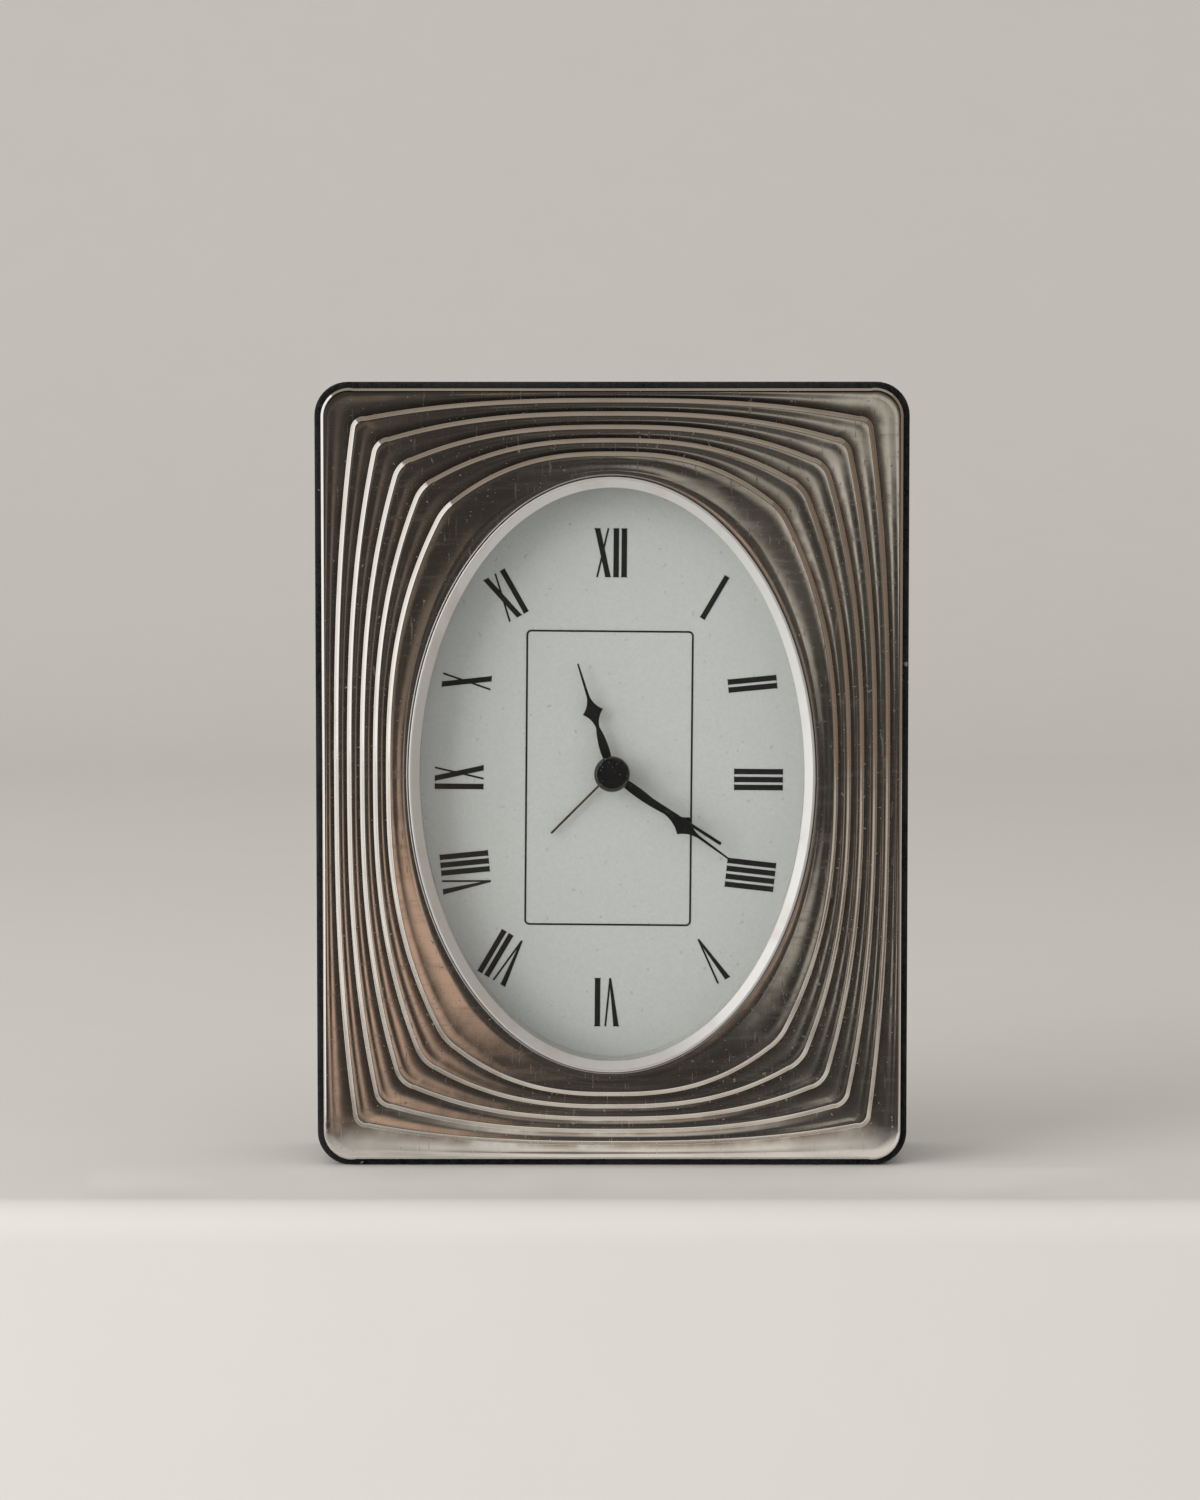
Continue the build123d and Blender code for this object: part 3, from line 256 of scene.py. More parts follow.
def silver_finish(colours):
    """Mirror polish with a brown film in the creases, faint swirls and small specks."""
    f = Finish("polished_silver")
    crease = f.add("ShaderNodeAttribute", {"attribute_name": "crease"}, {}, out=2)
    cloud = f.noise(90.0, 4.0, 0.6)
    film = f.mask(cloud, 0.50, 0.74) * 0.16 + crease * f.mask(f.noise(160.0), 0.25, 0.60) * 0.85
    specks = f.mask(f.noise(1500.0, 2.0, 0.5), 0.675, 0.735)
    hairs = f.mask(f.noise(260.0, 1.0, 0.4, f.stretched((9.0, 1.0, 1.0), (0.0, 0.8, 0.0))), 0.715, 0.75)
    tone = f.mix(film, tuple(colours.silver), tuple(colours.tarnish))
    tone = f.mix(specks * 0.45 + hairs * 0.25, tone, (0.92, 0.90, 0.86))
    swirl = f.noise(60.0, 5.0, 0.65, f.stretched((1.0, 1.0, 12.0), (0.0, 0.6, 0.0)))
    hair = f.noise(220.0, 3.0, 0.5, f.stretched((14.0, 1.0, 1.0), (0.0, 0.9, 0.0)))
    rough = 0.070 + film * 0.16 + f.mask(swirl, 0.48, 0.72) * 0.07 + specks * 0.30 + hairs * 0.15
    rough = rough + f.mask(hair, 0.60, 0.72) * 0.06
    dents = f.noise(48.0, 2.0, 0.5) + f.noise(130.0, 2.0, 0.5) * 0.16 + f.noise(420.0, 2.0, 0.5) * 0.04
    return f.surface(
        Base_Color=tone, Metallic=1.0, Roughness=rough, Normal=f.bump(dents, 0.00010, 0.85)
    )


def bezel_finish(colours):
    f = Finish("bright_bezel")
    film = f.mask(f.noise(140.0, 4.0), 0.48, 0.72)
    tone = f.mix(film * 0.25, tuple(colours.bezel), tint(colours.tarnish, 1.6))
    rough = 0.36 + film * 0.12 + f.mask(f.noise(900.0, 2.0), 0.60, 0.75) * 0.10
    return f.surface(
        Base_Color=tone, Metallic=0.55, Roughness=rough, Normal=f.bump(f.noise(700.0), 0.00002, 0.4)
    )


def dial_finish(colours):
    """Matt pale metal paint with a fine grain and a few specks of dust."""
    f = Finish("matt_dial")
    grain = f.noise(2600.0, 3.0, 0.6)
    broad = f.noise(26.0, 2.0, 0.5)
    dust = f.mask(f.noise(1150.0, 1.0, 0.4), 0.735, 0.77)
    tone = f.mix(f.mask(grain, 0.35, 0.65), tint(colours.dial, 0.965), tint(colours.dial, 1.03))
    tone = f.mix(f.mask(broad, 0.30, 0.70) * 0.06, tone, tint(colours.dial, 0.80))
    tone = f.mix(dust * 0.35, tone, tint(colours.dial, 0.45))
    rough = 0.42 + grain * 0.16
    return f.surface(
        Base_Color=tone, Metallic=0.0, Roughness=rough, Specular_IOR_Level=0.35,
        Normal=f.bump(grain, 0.00002, 0.5),
    )


def ink_finish(colours):
    f = Finish("black_print")
    worn = f.noise(1800.0, 3.0, 0.6)
    tone = f.mix(f.mask(worn, 0.55, 0.80) * 0.5, tuple(colours.ink), tint(colours.ink, 4.0))
    return f.surface(Base_Color=tone, Roughness=0.40 + worn * 0.25)


def lacquer_finish(colours):
    f = Finish("black_lacquer")
    grain = f.noise(1400.0, 3.0, 0.6)
    dust = f.mask(f.noise(2600.0, 1.0, 0.4), 0.70, 0.75)
    tone = f.mix(dust * 0.35, tuple(colours.lacquer), (0.16, 0.155, 0.15))
    return f.surface(Base_Color=tone, Roughness=0.26 + grain * 0.16, Normal=f.bump(grain, 0.00002, 0.4))


def cap_finish(colours):
    f = Finish("glossy_cap")
    dust = f.mask(f.noise(2300.0, 2.0, 0.5), 0.66, 0.72)
    tone = f.mix(dust * 0.5, tuple(colours.lacquer), (0.20, 0.20, 0.20))
    return f.surface(
        Base_Color=tone, Roughness=0.13 + dust * 0.35, Coat_Weight=0.6, Normal=f.bump(dust, 0.00003, 0.5)
    )


def bronze_finish(colours):
    f = Finish("dull_bronze")
    film = f.noise(800.0, 3.0, 0.6)
    tone = f.mix(f.mask(film, 0.4, 0.7), tuple(colours.bronze), tint(colours.bronze, 0.55))
    return f.surface(Base_Color=tone, Metallic=0.7, Roughness=0.32 + film * 0.2)


def glass_finish():
    """Clear flat glass: see-through, with only its gloss showing."""
    f = Finish("clear_glass")
    clear = f.add("ShaderNodeBsdfTransparent", {}, {"Color": (0.985, 0.99, 0.985, 1.0)})
    smear = f.mask(f.noise(70.0, 4.0, 0.6), 0.50, 0.80)
    gloss = f.add("ShaderNodeBsdfPrincipled", {}, {"Base Color": (0.9, 0.9, 0.9, 1.0), "Metallic": 1.0,
                                                  "Roughness": 0.02 + smear * 0.06})
    facing = f.add("ShaderNodeFresnel", {}, {"IOR": 1.45})
    behind = f.add("ShaderNodeNewGeometry", out="Backfacing")
    f.close(f.add("ShaderNodeMixShader", {}, {0: facing * (1.0 - behind) * 0.8, 1: clear, 2: gloss}))
    return f.material


def velvet_finish(colours):
    """Short black pile: dark, soft at the edges, with crushed patches and lint."""
    f = Finish("black_velvet")
    pile = f.noise(2600.0, 3.0, 0.65)
    tufts = f.noise(900.0, 3.0, 0.6, f.stretched((1.0, 1.0, 0.45), (0.3, 0.2, 0.0)))
    crushed = f.mask(f.noise(48.0, 4.0, 0.6), 0.44, 0.66)
    lint = f.mask(f.noise(520.0, 1.0, 0.4), 0.765, 0.785)
    mottle = f.mask(pile * 0.6 + tufts * 0.4, 0.36, 0.64)
    tone = f.mix(mottle, tint(colours.velvet, 0.4), tint(colours.velvet, 1.9))
    tone = f.mix(crushed * 0.55, tone, tint(colours.velvet, 2.4))
    tone = f.mix(lint * 0.45, tone, tuple(colours.lint))
    height = pile * 0.5 + tufts + crushed * 0.4 + lint * 0.5
    return f.surface(
        Base_Color=tone, Roughness=0.95, Specular_IOR_Level=0.05, Sheen_Weight=0.30, Sheen_Roughness=0.38,
        Sheen_Tint=(0.50, 0.48, 0.47), Normal=f.bump(height, 0.00035, 0.8),
    )


def moulded_finish(name, tone, rough=0.46):
    """Moulded plastic with a spark-eroded grain, rubbed brighter in places."""
    f = Finish(name)
    grain = f.noise(1900.0, 3.0, 0.6)
    rubbed = f.mask(f.noise(60.0, 4.0, 0.6), 0.50, 0.74)
    mixed = f.mix(f.mask(grain, 0.3, 0.7), tint(tone, 0.82), tint(tone, 1.16))
    mixed = f.mix(rubbed * 0.25, mixed, tint(tone, 1.9))
    return f.surface(
        Base_Color=mixed, Roughness=rough + grain * 0.14 - rubbed * 0.08, Normal=f.bump(grain, 0.00004, 0.55)
    )


def metal_finish(name, tone, rough=0.28):
    """Plain metal with drawn lines and a little dirt."""
    f = Finish(name)
    lines = f.noise(500.0, 3.0, 0.6, f.stretched((1.0, 1.0, 14.0)))
    dirt = f.mask(f.noise(260.0, 4.0, 0.6), 0.52, 0.74)
    mixed = f.mix(dirt * 0.45, tuple(tone), tint(tone, 0.45))
    return f.surface(
        Base_Color=mixed, Metallic=1.0, Roughness=rough + lines * 0.14 + dirt * 0.15,
        Normal=f.bump(lines, 0.00003, 0.4),
    )


def winding_finish():
    """Fine enamelled wire, laid turn beside turn, with painted shade in the grooves between turns and a
    painted highlight on each turn.
    """
    f = Finish("copper_winding")
    turns = f.add("ShaderNodeTexWave", {"wave_type": "BANDS", "bands_direction": "X"},
                  {"Vector": f.place(), "Scale": 2600.0, "Distortion": 0.6, "Detail": 1.0})
    # Painted shade and highlight: the copper runs from a shaded dark copy in each groove to a lit bright copy
    # on each turn's crest.
    tone = f.mix(turns, (0.16, 0.055, 0.02), (0.58, 0.25, 0.11))
    return f.surface(
        Base_Color=tone, Metallic=0.8, Roughness=0.30 + turns * 0.1, Normal=f.bump(turns, 0.00008, 0.8)
    )


def board_finish(name, tone, fibre):
    """Pressed board with short fibres."""
    f = Finish(name)
    strands = f.noise(420.0, 4.0, 0.65, f.stretched((1.0, 1.0, 5.0), (0.0, 0.5, 0.0)))
    mixed = f.mix(f.mask(strands, 0.35, 0.65), tint(tone, 0.75), fibre)
    return f.surface(Base_Color=mixed, Roughness=0.62 + strands * 0.2, Normal=f.bump(strands, 0.00008, 0.5))


def circuit_finish():
    f = Finish("green_circuit")
    tracks = f.add("ShaderNodeTexBrick", {"offset": 0.5},
                   {"Vector": f.stretched((1.0, 1.0, 1.0), (math.pi / 2, 0.0, 0.0)), "Scale": 260.0,
                    "Mortar Size": 0.06, "Brick Width": 0.9, "Row Height": 0.32}, out=1)
    tone = f.mix(tracks, (0.012, 0.090, 0.035), (0.05, 0.20, 0.08))
    return f.surface(Base_Color=tone, Roughness=0.26 + tracks * 0.15, Coat_Weight=0.3,
                     Normal=f.bump(tracks, 0.00004, 0.6))


def cell_finish():
    """Printed sleeve in two plain bands."""
    f = Finish("cell_sleeve")
    across = f.add("ShaderNodeSeparateXYZ", {}, {"Vector": f.place()})
    band = f.mask(across, 0.0125, 0.0127)
    scuffs = f.mask(f.noise(300.0, 4.0, 0.6), 0.56, 0.72)
    tone = f.mix(band, (0.018, 0.022, 0.035), (0.50, 0.30, 0.10))
    tone = f.mix(scuffs * 0.4, tone, (0.35, 0.35, 0.36))
    return f.surface(Base_Color=tone, Metallic=0.4, Roughness=0.24 + scuffs * 0.2)


# Pieces

def dress(material, *nodes):
    """Gives CAD nodes their finish."""
    for name in nodes:
        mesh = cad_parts[name].data
        mesh.materials.clear()
        mesh.materials.append(material)


def new_piece(name, mesh, material, body, slot, *stands_for):
    piece = bpy.data.objects.new(name, mesh)
    bpy.context.scene.collection.objects.link(piece)
    mesh.materials.append(material)
    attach(piece, body)
    if stands_for:
        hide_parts(*stands_for)
    return piece


def bowed(peak, end, half, power):
    """Points and outward normals of half a side: how far out, how far along, from its middle past its end."""
    t = np.linspace(0.0, BOW_OVERRUN, BOW_SAMPLES)
    out = peak - (peak - end) * t ** power
    lean = (peak - end) * power * t ** (power - 1) / half
    steep = np.hypot(1.0, lean)
    return np.stack([out, half * t]), np.stack([1.0 / steep, lean / steep])


class Outline:
    """One step in plan: bowed sides joined by round corners, given by its reach from the centre."""

    def __init__(self, sizes, ridge):
        half_x, half_z = sizes.width / 2, sizes.height / 2
        peak_x, peak_z, end_x, end_z = half_x, half_z, half_x, half_z
        self.radius = sizes.corner
        self.rise = 0.0
        if ridge:
            back = (ridge - 1) * sizes.corner_pitch
            peak_x, peak_z = half_x - ridge * sizes.pitch, half_z - ridge * sizes.pitch
            end_x, end_z = half_x - sizes.corner_inset_x - back, half_z - sizes.corner_inset_z - back
            self.radius = sizes.ridge_corner * sizes.ridge_growth ** (ridge - 1)
            self.rise = sizes.oval_rise
        self.side, self.side_normal = bowed(peak_x, end_x, end_z, sizes.bow_power)
        top, top_normal = bowed(peak_z, end_z, end_x, sizes.bow_power)
        self.top, self.top_normal = top[::-1], top_normal[::-1]
        self.join()

    def join(self):
        """Finds the centre of the corner's round, as far inside both sides as its radius."""
        side_x, side_z = self.side - self.radius * self.side_normal
        top_x, top_z = self.top - self.radius * self.top_normal
        self.side_end = int(np.argmax(side_z >= np.interp(side_x, top_x, top_z)))
        self.middle = np.array([side_x[self.side_end], side_z[self.side_end]])
        self.top_end = int(np.argmax(top_x >= self.middle[0]))
        first = np.arctan2(*self.side_normal[::-1, self.side_end])
        last = np.arctan2(*self.top_normal[::-1, self.top_end])
        turns = np.linspace(first, last, CORNER_SAMPLES)
        self.round = np.stack([np.cos(turns), np.sin(turns)])

    def quarter(self, inset):
        """Evenly spread points of the first quarter, moved in by an inset: side, corner, then top."""
        side = (self.side - inset * self.side_normal)[:, :self.side_end + 1]
        corner = self.middle[:, None] + (self.radius - inset) * self.round
        top = (self.top - inset * self.top_normal)[:, self.top_end::-1]
        side, corner, top = spread(side, SIDE_POINTS), spread(corner, CORNER_POINTS), spread(top, TOP_POINTS)
        return np.concatenate([side[:, :-1], corner, top[:, 1:]], axis=1)


def lengths(points):
    """Share of a line's length up to each of its points."""
    run = np.concatenate([[0.0], np.cumsum(np.hypot(*np.diff(points, axis=1)))])
    return run / run[-1]


def spread(points, shares):
    """Points along a line at given shares of its length, or at so many even ones."""
    if isinstance(shares, int):
        shares = np.linspace(0.0, 1.0, shares)
    run = lengths(points)
    return np.stack([np.interp(shares, run, points[0]), np.interp(shares, run, points[1])])


def all_round(quarter, rise):
    """A first quarter mirrored into a whole ring round its centre."""
    left = (quarter * [[-1.0], [1.0]])[:, -2::-1]
    half = np.concatenate([quarter, left], axis=1)
    under = (half * [[1.0], [-1.0]])[:, -2:0:-1]
    return np.concatenate([half, under], axis=1) + [[0.0], [rise]]


class SilverMesh:
    """Rows of points from the silver's skirt over every step into the oval."""

    nose_parts = 7
    bend_parts = 6
    tread_parts = 4
    collar_parts = 4

    def __init__(self, sizes):
        self.sizes = sizes
        self.outlines = [Outline(sizes, ridge) for ridge in range(sizes.ridges + 1)]
        self.shares = lengths(self.outlines[-1].quarter(0.0))
        self.rows = []
        self.marks = []

    def row(self, plan, depth, crease=0.0):
        self.rows.append(np.stack([plan[0], np.full(plan.shape[1], depth), plan[1]], axis=1))
        self.marks.append(crease)

    def step_plan(self, ridge, inset):
        outline = self.outlines[ridge]
        return all_round(outline.quarter(inset), outline.rise)

    def oval_plan(self, inset):
        turns = np.linspace(0.0, math.pi / 2, OVAL_SAMPLES)
        a = self.sizes.oval_width / 2 - inset
        b = self.sizes.oval_height / 2 - inset
        line = np.stack([a * np.cos(turns), b * np.sin(turns)])
        return all_round(spread(line, self.shares), self.sizes.oval_rise)

    def tread_depth(self, ridge):
        return self.sizes.crest + (self.sizes.ridges - ridge) * self.sizes.step

    def back_depth(self):
        return self.tread_depth(0) + self.sizes.skirt

    def add_edge(self):
        """Skirt and rounded outer edge."""
        nose = self.sizes.nose
        depth = self.tread_depth(0)
        self.row(self.step_plan(0, 0.0), self.back_depth(), 1.0)
        for i in range(self.nose_parts + 1):
            turn = math.pi / 2 * i / self.nose_parts
            self.row(self.step_plan(0, nose * (1 - math.cos(turn))), depth + nose * (1 - math.sin(turn)))
        return nose

    def add_step(self, ridge):
        """Hollow foot, slope and rounded nose of one pressed step."""
        sizes = self.sizes
        bend = sizes.bend
        straight = sizes.step - 2 * bend * (1 - math.cos(sizes.slope))
        wide = 2 * bend * math.sin(sizes.slope) + straight / math.tan(sizes.slope)
        below, above = self.tread_depth(ridge - 1), self.tread_depth(ridge)
        for i in range(self.bend_parts + 1):
            turn = sizes.slope * i / self.bend_parts
            plan = self.step_plan(ridge, bend * math.sin(turn) - sizes.foot)
            self.row(plan, below - bend * (1 - math.cos(turn)), 1 - i / self.bend_parts)
        for i in range(self.bend_parts, -1, -1):
            turn = sizes.slope * i / self.bend_parts
            inset = wide - bend * math.sin(turn) - sizes.foot
            self.row(self.step_plan(ridge, inset), above + bend * (1 - math.cos(turn)))
        return wide - sizes.foot

    def add_tread(self, ridge, start):
        """Slightly hollowed tread up to the next step's foot or the oval."""
        last = ridge == self.sizes.ridges
        first = self.step_plan(ridge, start)
        end = self.oval_plan(-self.sizes.collar) if last else self.step_plan(ridge + 1, -self.sizes.foot)
        for i in range(1, self.tread_parts + (1 if last else 0)):
            t = i / self.tread_parts
            sunk = self.sizes.dish * math.sin(math.pi * t)
            crease = 0.0 if last else max(0.0, 2 * t - 1)
            self.row(first + (end - first) * t, self.tread_depth(ridge) + sunk, crease)

    def add_collar(self):
        collar = self.sizes.collar
        depth = self.tread_depth(self.sizes.ridges)
        for i in range(1, self.collar_parts + 1):
            turn = math.pi / 2 * i / self.collar_parts
            self.row(self.oval_plan(-collar * (1 - math.sin(turn))), depth + collar * (1 - math.cos(turn)))
        self.row(self.oval_plan(0.0), self.back_depth())

    def build(self, name):
        self.add_tread(0, self.add_edge())
        for ridge in range(1, self.sizes.ridges + 1):
            self.add_tread(ridge, self.add_step(ridge))
        self.add_collar()
        points = np.concatenate(self.rows) + (0.0, FRONT, MIDDLE)
        count = len(self.rows[0])
        rings = len(self.rows)
        faces = []
        for ring in range(rings):
            after = (ring + 1) % rings
            for i in range(count):
                j = (i + 1) % count
                faces.append((ring * count + i, ring * count + j, after * count + j, after * count + i))
        mesh = bpy.data.meshes.new(name)
        mesh.from_pydata(points, [], faces)
        crease = mesh.attributes.new("crease", "FLOAT", "POINT")
        crease.data.foreach_set("value", np.repeat(self.marks, count))
        outward(mesh)
        mesh.shade_smooth()
        mesh.set_sharp_from_angle(angle=SHARP_ANGLE)
        return mesh


def outward(mesh):
    shell = bmesh.new()
    shell.from_mesh(mesh)
    bmesh.ops.recalc_face_normals(shell, faces=shell.faces)
    shell.to_mesh(mesh)
    shell.free()


# Operators

class ClockOperator(bpy.types.Operator):
    bl_options = {"REGISTER", "UNDO"}


class CLOCK_OT_silver_front(ClockOperator):
    """Builds the stepped silver front in place of its solid"""
    bl_idname = "clock.silver_front"
    bl_label = "Silver Front"

    def execute(self, context):
        mesh = SilverMesh(context.scene.clock_silver).build("silver_sheet")
        material = silver_finish(context.scene.clock_colours)
        new_piece("silver_sheet", mesh, material, "case", "silver", "silver_front")
        return {"FINISHED"}


class CLOCK_OT_bezel_and_glass(ClockOperator):
    """Finishes the bright oval ring, the glass and the spacer behind it"""
    bl_idname = "clock.bezel_and_glass"
    bl_label = "Bezel and Glass"

    def execute(self, context):
        colours = context.scene.clock_colours
        dress(bezel_finish(colours), "bezel_ring")
        dress(glass_finish(), "glass")
        dress(moulded_finish("pale_spacer", (0.42, 0.42, 0.41), 0.5), "spacer_ring")
        return {"FINISHED"}


class CLOCK_OT_dial(ClockOperator):
    """Finishes the dial and its printing"""
    bl_idname = "clock.dial"
    bl_label = "Dial"

    def execute(self, context):
        colours = context.scene.clock_colours
        dress(dial_finish(colours), "dial")
        dress(ink_finish(colours), "dial_numerals", "dial_line")
        return {"FINISHED"}


class CLOCK_OT_hands(ClockOperator):
    """Finishes the four hands and the cap"""
    bl_idname = "clock.hands"
    bl_label = "Hands"

    def execute(self, context):
        colours = context.scene.clock_colours
        dress(lacquer_finish(colours), "hour_hand", "minute_hand", "second_hand")
        dress(cap_finish(colours), "second_cap")
        dress(bronze_finish(colours), "alarm_hand")
        return {"FINISHED"}


class CLOCK_OT_velvet(ClockOperator):
    """Covers the case and the back in black velvet"""
    bl_idname = "clock.velvet"
    bl_label = "Velvet"

    def execute(self, context):
        dress(velvet_finish(context.scene.clock_colours), "velvet_case", "back_panel")
        return {"FINISHED"}


class CLOCK_OT_back_controls(ClockOperator):
    """Finishes the movement's cover, its door, knobs, switch and screws"""
    bl_idname = "clock.back_controls"
    bl_label = "Back Controls"

    def execute(self, context):
        colours = context.scene.clock_colours
        plastic = tuple(colours.plastic)
        dress(moulded_finish("moulded_housing", plastic), "movement_case", "movement_cover")
        dress(moulded_finish("moulded_door", tint(plastic, 1.2), 0.42), "battery_door")
        knobs = ("time_knob", "alarm_knob", "alarm_switch")
        dress(moulded_finish("moulded_knobs", tint(plastic, 1.5), 0.38), *knobs)
        screws = ("back_screws", "cover_screws", "dial_plate_screws", "movement_screws", "bridge_screws")
        dress(metal_finish("plain_steel", colours.steel), *screws)
        return {"FINISHED"}


class CLOCK_OT_movement(ClockOperator):
    """Finishes the wheels, motor, electronics and battery inside"""
    bl_idname = "clock.movement"
    bl_label = "Movement"

    def execute(self, context):
        steel = context.scene.clock_colours.steel
        wheels = ("fifth_wheel", "second_wheel", "third_wheel", "centre_wheel", "motion_wheel", "hour_wheel",
                  "alarm_wheel", "alarm_arbor", "rotor_pinion")
        dress(moulded_finish("ivory_wheels", (0.66, 0.62, 0.53), 0.42), *wheels)
        dress(moulded_finish("grey_plates", (0.24, 0.25, 0.27)), "train_plate", "train_bridge", "coil_bobbin")
        dress(metal_finish("turned_brass", (0.63, 0.44, 0.16), 0.24), "minute_arbor", "buzzer")
        dress(metal_finish("pole_iron", tint(steel, 0.85), 0.34), "stator", "coil_core")
        dress(metal_finish("dark_magnet", (0.12, 0.12, 0.13), 0.42), "rotor_magnet")
        contacts = ("battery_contact_plus", "battery_contact_minus", "quartz_crystal")
        dress(metal_finish("nickel", (0.62, 0.60, 0.57), 0.20), *contacts)
        dress(winding_finish(), "coil_winding")
        dress(board_finish("brown_board", (0.17, 0.095, 0.045), (0.27, 0.165, 0.085)), "dial_plate")
        dress(circuit_finish(), "circuit_board")
        dress(moulded_finish("black_resin", (0.012, 0.012, 0.012), 0.30), "timing_chip")
        dress(cell_finish(), "battery")
        return {"FINISHED"}


class CLOCK_OT_stage(ClockOperator):
    """Sets the pale floor, the soft light, the background and the camera"""
    bl_idname = "clock.stage"
    bl_label = "Stage"

    def execute(self, context):
        stage = context.scene.clock_stage
        self.add_floor(stage)
        self.add_background(context.scene, stage)
        self.add_lamp("window", place=(-0.82, -0.58, 0.36), side=0.90, power=9.5, tone=(1.0, 0.99, 0.97))
        self.add_cards(stage)
        self.add_camera(context.scene, stage)
        context.scene.view_settings.view_transform = "Standard"
        return {"FINISHED"}

    def add_floor(self, stage):
        """A broad pale shelf with a rounded front edge, which sweeps up far behind the clock."""
        reach, drop, bend, parts, sweep = 2.4, 0.8, 0.006, 8, 0.8
        line = [(2 * sweep, 2 * sweep)]
        for i in range(3 * parts + 1):
            turn = math.pi / 2 * i / (3 * parts)
            line.append((sweep + sweep * math.cos(turn), sweep - sweep * math.sin(turn)))
        line.append((bend - stage.floor_front, 0.0))
        for i in range(1, parts + 1):
            turn = math.pi / 2 * i / parts
            line.append((bend - stage.floor_front - bend * math.sin(turn), -bend * (1 - math.cos(turn))))
        line.append((-stage.floor_front, -drop))
        points = [(x, y, z) for y, z in line for x in (-reach, reach)]
        faces = [(2 * i, 2 * i + 1, 2 * i + 3, 2 * i + 2) for i in range(len(line) - 1)]
        mesh = bpy.data.meshes.new("floor")
        mesh.from_pydata(points, [], faces)
        outward(mesh)
        mesh.shade_smooth()
        f = Finish("pale_floor")
        grain = f.noise(45.0, 4.0, 0.6)
        tone = f.mix(grain, tint(stage.floor, 0.985), tint(stage.floor, 1.015))
        mesh.materials.append(f.surface(Base_Color=tone, Roughness=0.55, Specular_IOR_Level=0.3))
        floor = bpy.data.objects.new("floor", mesh)
        bpy.context.scene.collection.objects.link(floor)

    def add_background(self, scene, stage):
        world = bpy.data.worlds.new("studio")
        scene.world = world
        world.use_nodes = True
        f = Finish("studio", world.node_tree)
        shader = f.add("ShaderNodeBackground", {}, {"Color": (*stage.backdrop, 1.0), "Strength": 1.0})
        f.add("ShaderNodeOutputWorld", {}, {"Surface": shader})

    def add_cards(self, stage):
        """Studio cards out of the picture, which only the polished silver shows."""
        front = Finish("front_card")
        away = -0.95
        wobble = front.noise(26.0, 4.0, 0.65)
        cloud = front.mask(front.noise(16.0, 4.0, 0.65), 0.46, 0.68)
        height = front.add("ShaderNodeSeparateXYZ", {}, {"Vector": front.place()}, out=2)
        tone = front.mix(cloud * 0.45, tuple(stage.shade), tint(stage.cream, 0.3))
        patches = (
            (stage.blush, (-0.088, away, -0.065), (0.062, 1.0, 0.095), 0.95),
            (stage.cream, (0.118, away, 0.090), (0.050, 1.0, 0.090), 1.0),
            (stage.cream, (0.060, away, 0.118), (0.095, 1.0, 0.034), 0.6),
            (stage.cream, (0.085, away, -0.075), (0.032, 1.0, 0.046), 0.7),
            (stage.brown, (-0.105, away, 0.030), (0.040, 1.0, 0.120), 0.7),
        )
        for patch, centre, size, strength in patches:
            near = front.add("ShaderNodeMapping", {"vector_type": "TEXTURE"},
                             {"Vector": front.place(), "Location": centre, "Scale": size})
            far = front.add("ShaderNodeVectorMath", {"operation": "LENGTH"}, {0: near}, out=1)
            tone = front.mix(front.mask(far + wobble * 0.9, 1.55, 0.75) * strength, tone, tuple(patch))
        tone = front.mix(front.mask(height, 0.16, 0.26), tone, tint(stage.shade, 0.35))
        self.add_card("front_card", (0.0, away, 0.29), (1.50, 0.0, 0.0), (0.0, 0.0, 1.32), front, tone)
        window = Finish("window_card")
        self.add_card("window_card", (-0.95, 0.10, 0.45), (0.0, 1.8, 0.0), (0.0, 0.0, 1.4), window,
                      window.mix(window.noise(4.0), tint(stage.window, 0.92), tuple(stage.window)), 1.2)
        low = Finish("low_card")
        under, lift, short, faded = FRONT + 0.005, 0.0004, 0.002, 0.023
        along = low.add("ShaderNodeSeparateXYZ", {}, {"Vector": low.place()}, out=1)
        ragged = along + (low.noise(70.0) - 0.5) * 0.02
        fade = low.mask(ragged, -stage.floor_front, faded - stage.floor_front)
        patchy = low.mask(low.noise(24.0, 4.0, 0.6), 0.36, 0.62)
        glow = low.mix(patchy, tint(stage.low, 0.55), tint(stage.low, 0.95))
        self.add_card("low_card", (0.0, (under - stage.floor_front) / 2, lift), (0.16, 0.0, 0.0),
                      (0.0, stage.floor_front + under - short, 0.0), low,
                      low.mix(fade, tint(stage.shade, 2.0), glow))
        side = Finish("side_card")
        self.add_card("side_card", (0.80, 0.10, 0.30), (0.0, 2.2, 0.0), (0.0, 0.0, 1.3), side,
                      side.mix(side.noise(5.0), tint(stage.brown, 0.7), tint(stage.brown, 1.3)))
        over = Finish("over_card")
        self.add_card("over_card", (0.0, 0.0, 0.95), (1.6, 0.0, 0.0), (0.0, 2.0, 0.0), over,
                      over.mix(over.noise(5.0), tint(stage.brown, 1.1), tint(stage.cream, 0.75)))

    def add_card(self, name, place, across, up, finish, tone, strength=1.0):
        place, across, up = Vector(place), Vector(across), Vector(up)
        corners = [place + (across * i + up * j) / 2 for i, j in ((-1, -1), (1, -1), (1, 1), (-1, 1))]
        mesh = bpy.data.meshes.new(name)
        mesh.from_pydata(corners, [], [(0, 1, 2, 3)])
        finish.close(finish.add("ShaderNodeEmission", {}, {"Color": tone, "Strength": strength}))
        mesh.materials.append(finish.material)
        card = bpy.data.objects.new(name, mesh)
        bpy.context.scene.collection.objects.link(card)
        card.visible_camera = False
        card.visible_diffuse = False
        card.visible_shadow = False

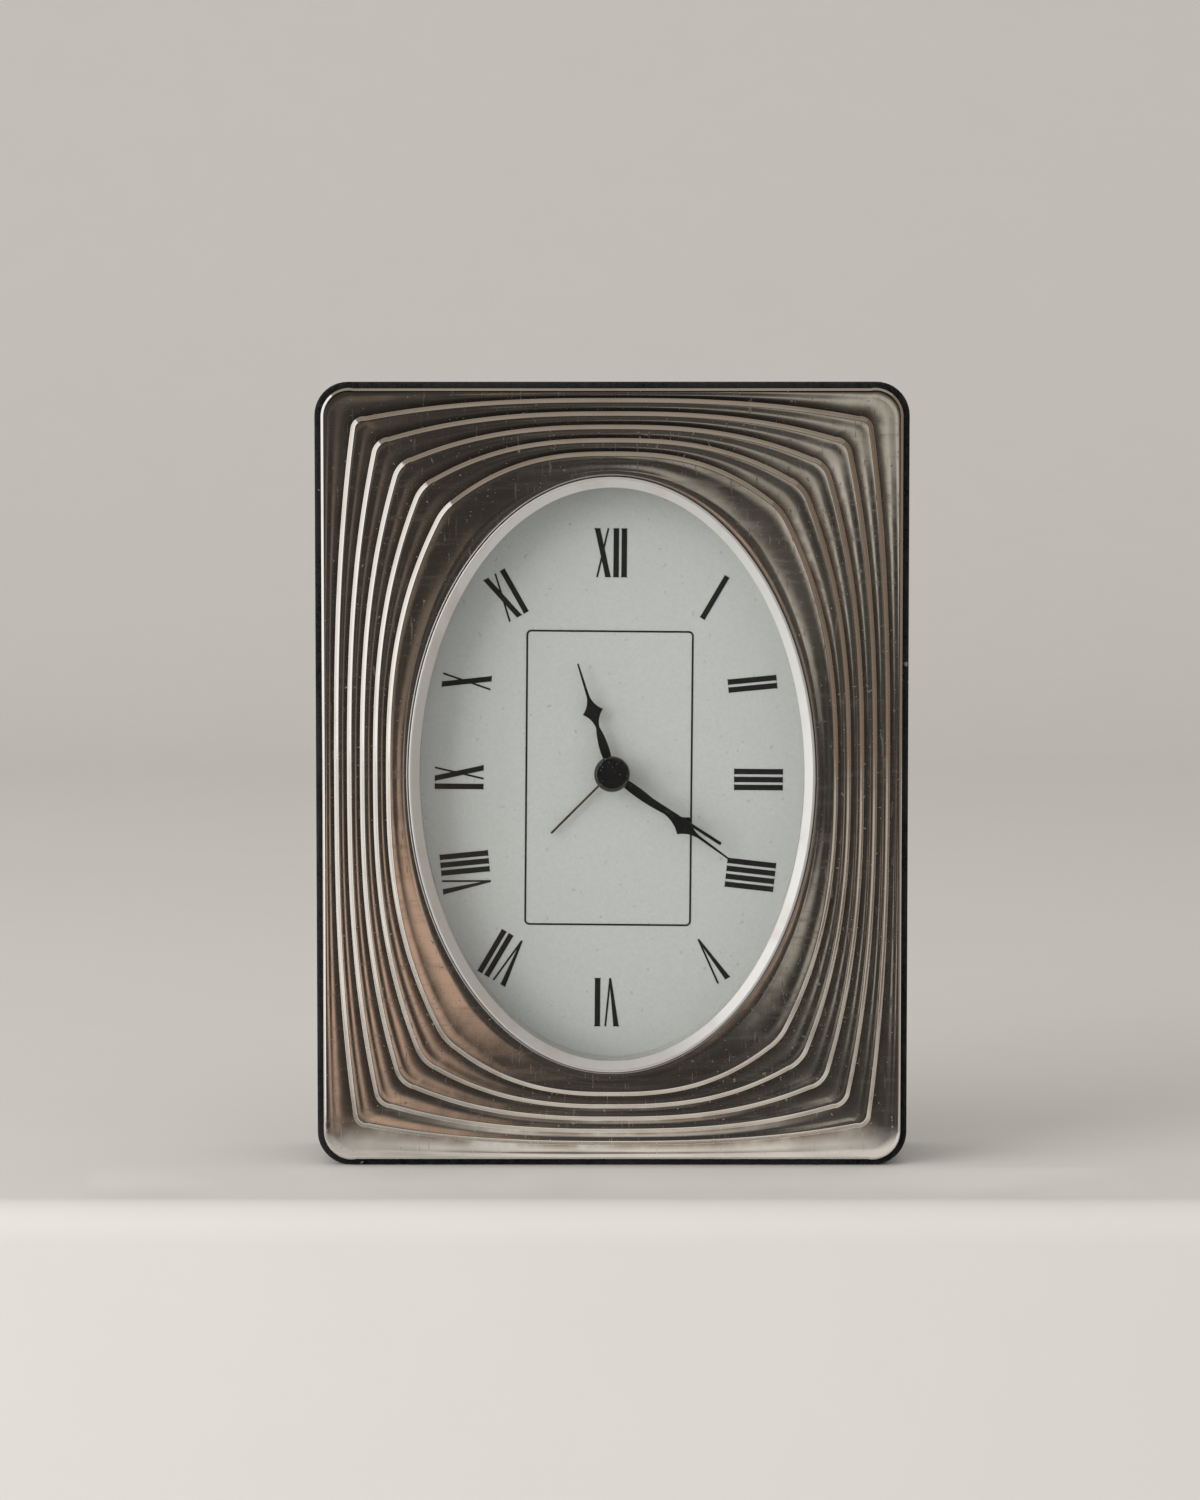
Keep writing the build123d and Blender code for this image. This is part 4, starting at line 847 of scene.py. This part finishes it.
    def add_lamp(self, name, place, side, power, tone):
        lamp = bpy.data.lights.new(name, "AREA")
        lamp.shape = "RECTANGLE"
        lamp.size, lamp.size_y = side, side
        lamp.energy = power
        lamp.color = tone
        piece = bpy.data.objects.new(name, lamp)
        bpy.context.scene.collection.objects.link(piece)
        aim = Vector(LAMP_AIM) - Vector(place)
        piece.location = place
        piece.rotation_euler = aim.to_track_quat("-Z", "Y").to_euler()
        piece.visible_glossy = False

    def add_camera(self, scene, stage):
        middle = Vector((0.0, FRONT, MIDDLE))
        out = Vector((0.0, -math.cos(stage.elevation), math.sin(stage.elevation)))
        data = bpy.data.cameras.new("camera")
        data.sensor_width = SENSOR_SIDE
        data.lens = stage.focal
        camera = bpy.data.objects.new("camera", data)
        scene.collection.objects.link(camera)
        camera.location = middle + out * stage.distance
        level = (-out).to_track_quat("-Z", "Y").to_matrix()
        nudge = Matrix.Rotation(stage.aim_left, 3, "Y") @ Matrix.Rotation(stage.aim_up, 3, "X")
        camera.rotation_euler = (level @ nudge).to_euler()
        scene.camera = camera


class CLOCK_PT_looks(bpy.types.Panel):
    bl_label = "Desk Clock"
    bl_idname = "CLOCK_PT_looks"
    bl_space_type = "VIEW_3D"
    bl_region_type = "UI"
    bl_category = "Clock"

    def draw(self, context):
        for operator in OPERATORS:
            self.layout.operator(operator.bl_idname)
        for group in GROUPS:
            box = self.layout.box()
            values = getattr(context.scene, group)
            for name in values.bl_rna.properties.keys():
                if name not in ("rna_type", "name"):
                    box.prop(values, name)


OPERATORS = (
    CLOCK_OT_silver_front,
    CLOCK_OT_bezel_and_glass,
    CLOCK_OT_dial,
    CLOCK_OT_hands,
    CLOCK_OT_velvet,
    CLOCK_OT_back_controls,
    CLOCK_OT_movement,
    CLOCK_OT_stage,
)
GROUPS = {
    "clock_silver": ClockSilverSizes,
    "clock_colours": ClockColours,
    "clock_stage": ClockStage,
}


def register():
    for group in (*GROUPS.values(), *OPERATORS, CLOCK_PT_looks):
        bpy.utils.register_class(group)
    for name, group in GROUPS.items():
        setattr(bpy.types.Scene, name, PointerProperty(type=group))


def unregister():
    for name in GROUPS:
        delattr(bpy.types.Scene, name)
    for group in reversed((*GROUPS.values(), *OPERATORS, CLOCK_PT_looks)):
        bpy.utils.unregister_class(group)


def main():
    register()
    bpy.ops.clock.silver_front()
    bpy.ops.clock.bezel_and_glass()
    bpy.ops.clock.dial()
    bpy.ops.clock.hands()
    bpy.ops.clock.velvet()
    bpy.ops.clock.back_controls()
    bpy.ops.clock.movement()
    bpy.ops.clock.stage()
    bpy.context.view_layer.update()


if __name__ == "__main__":
    main()
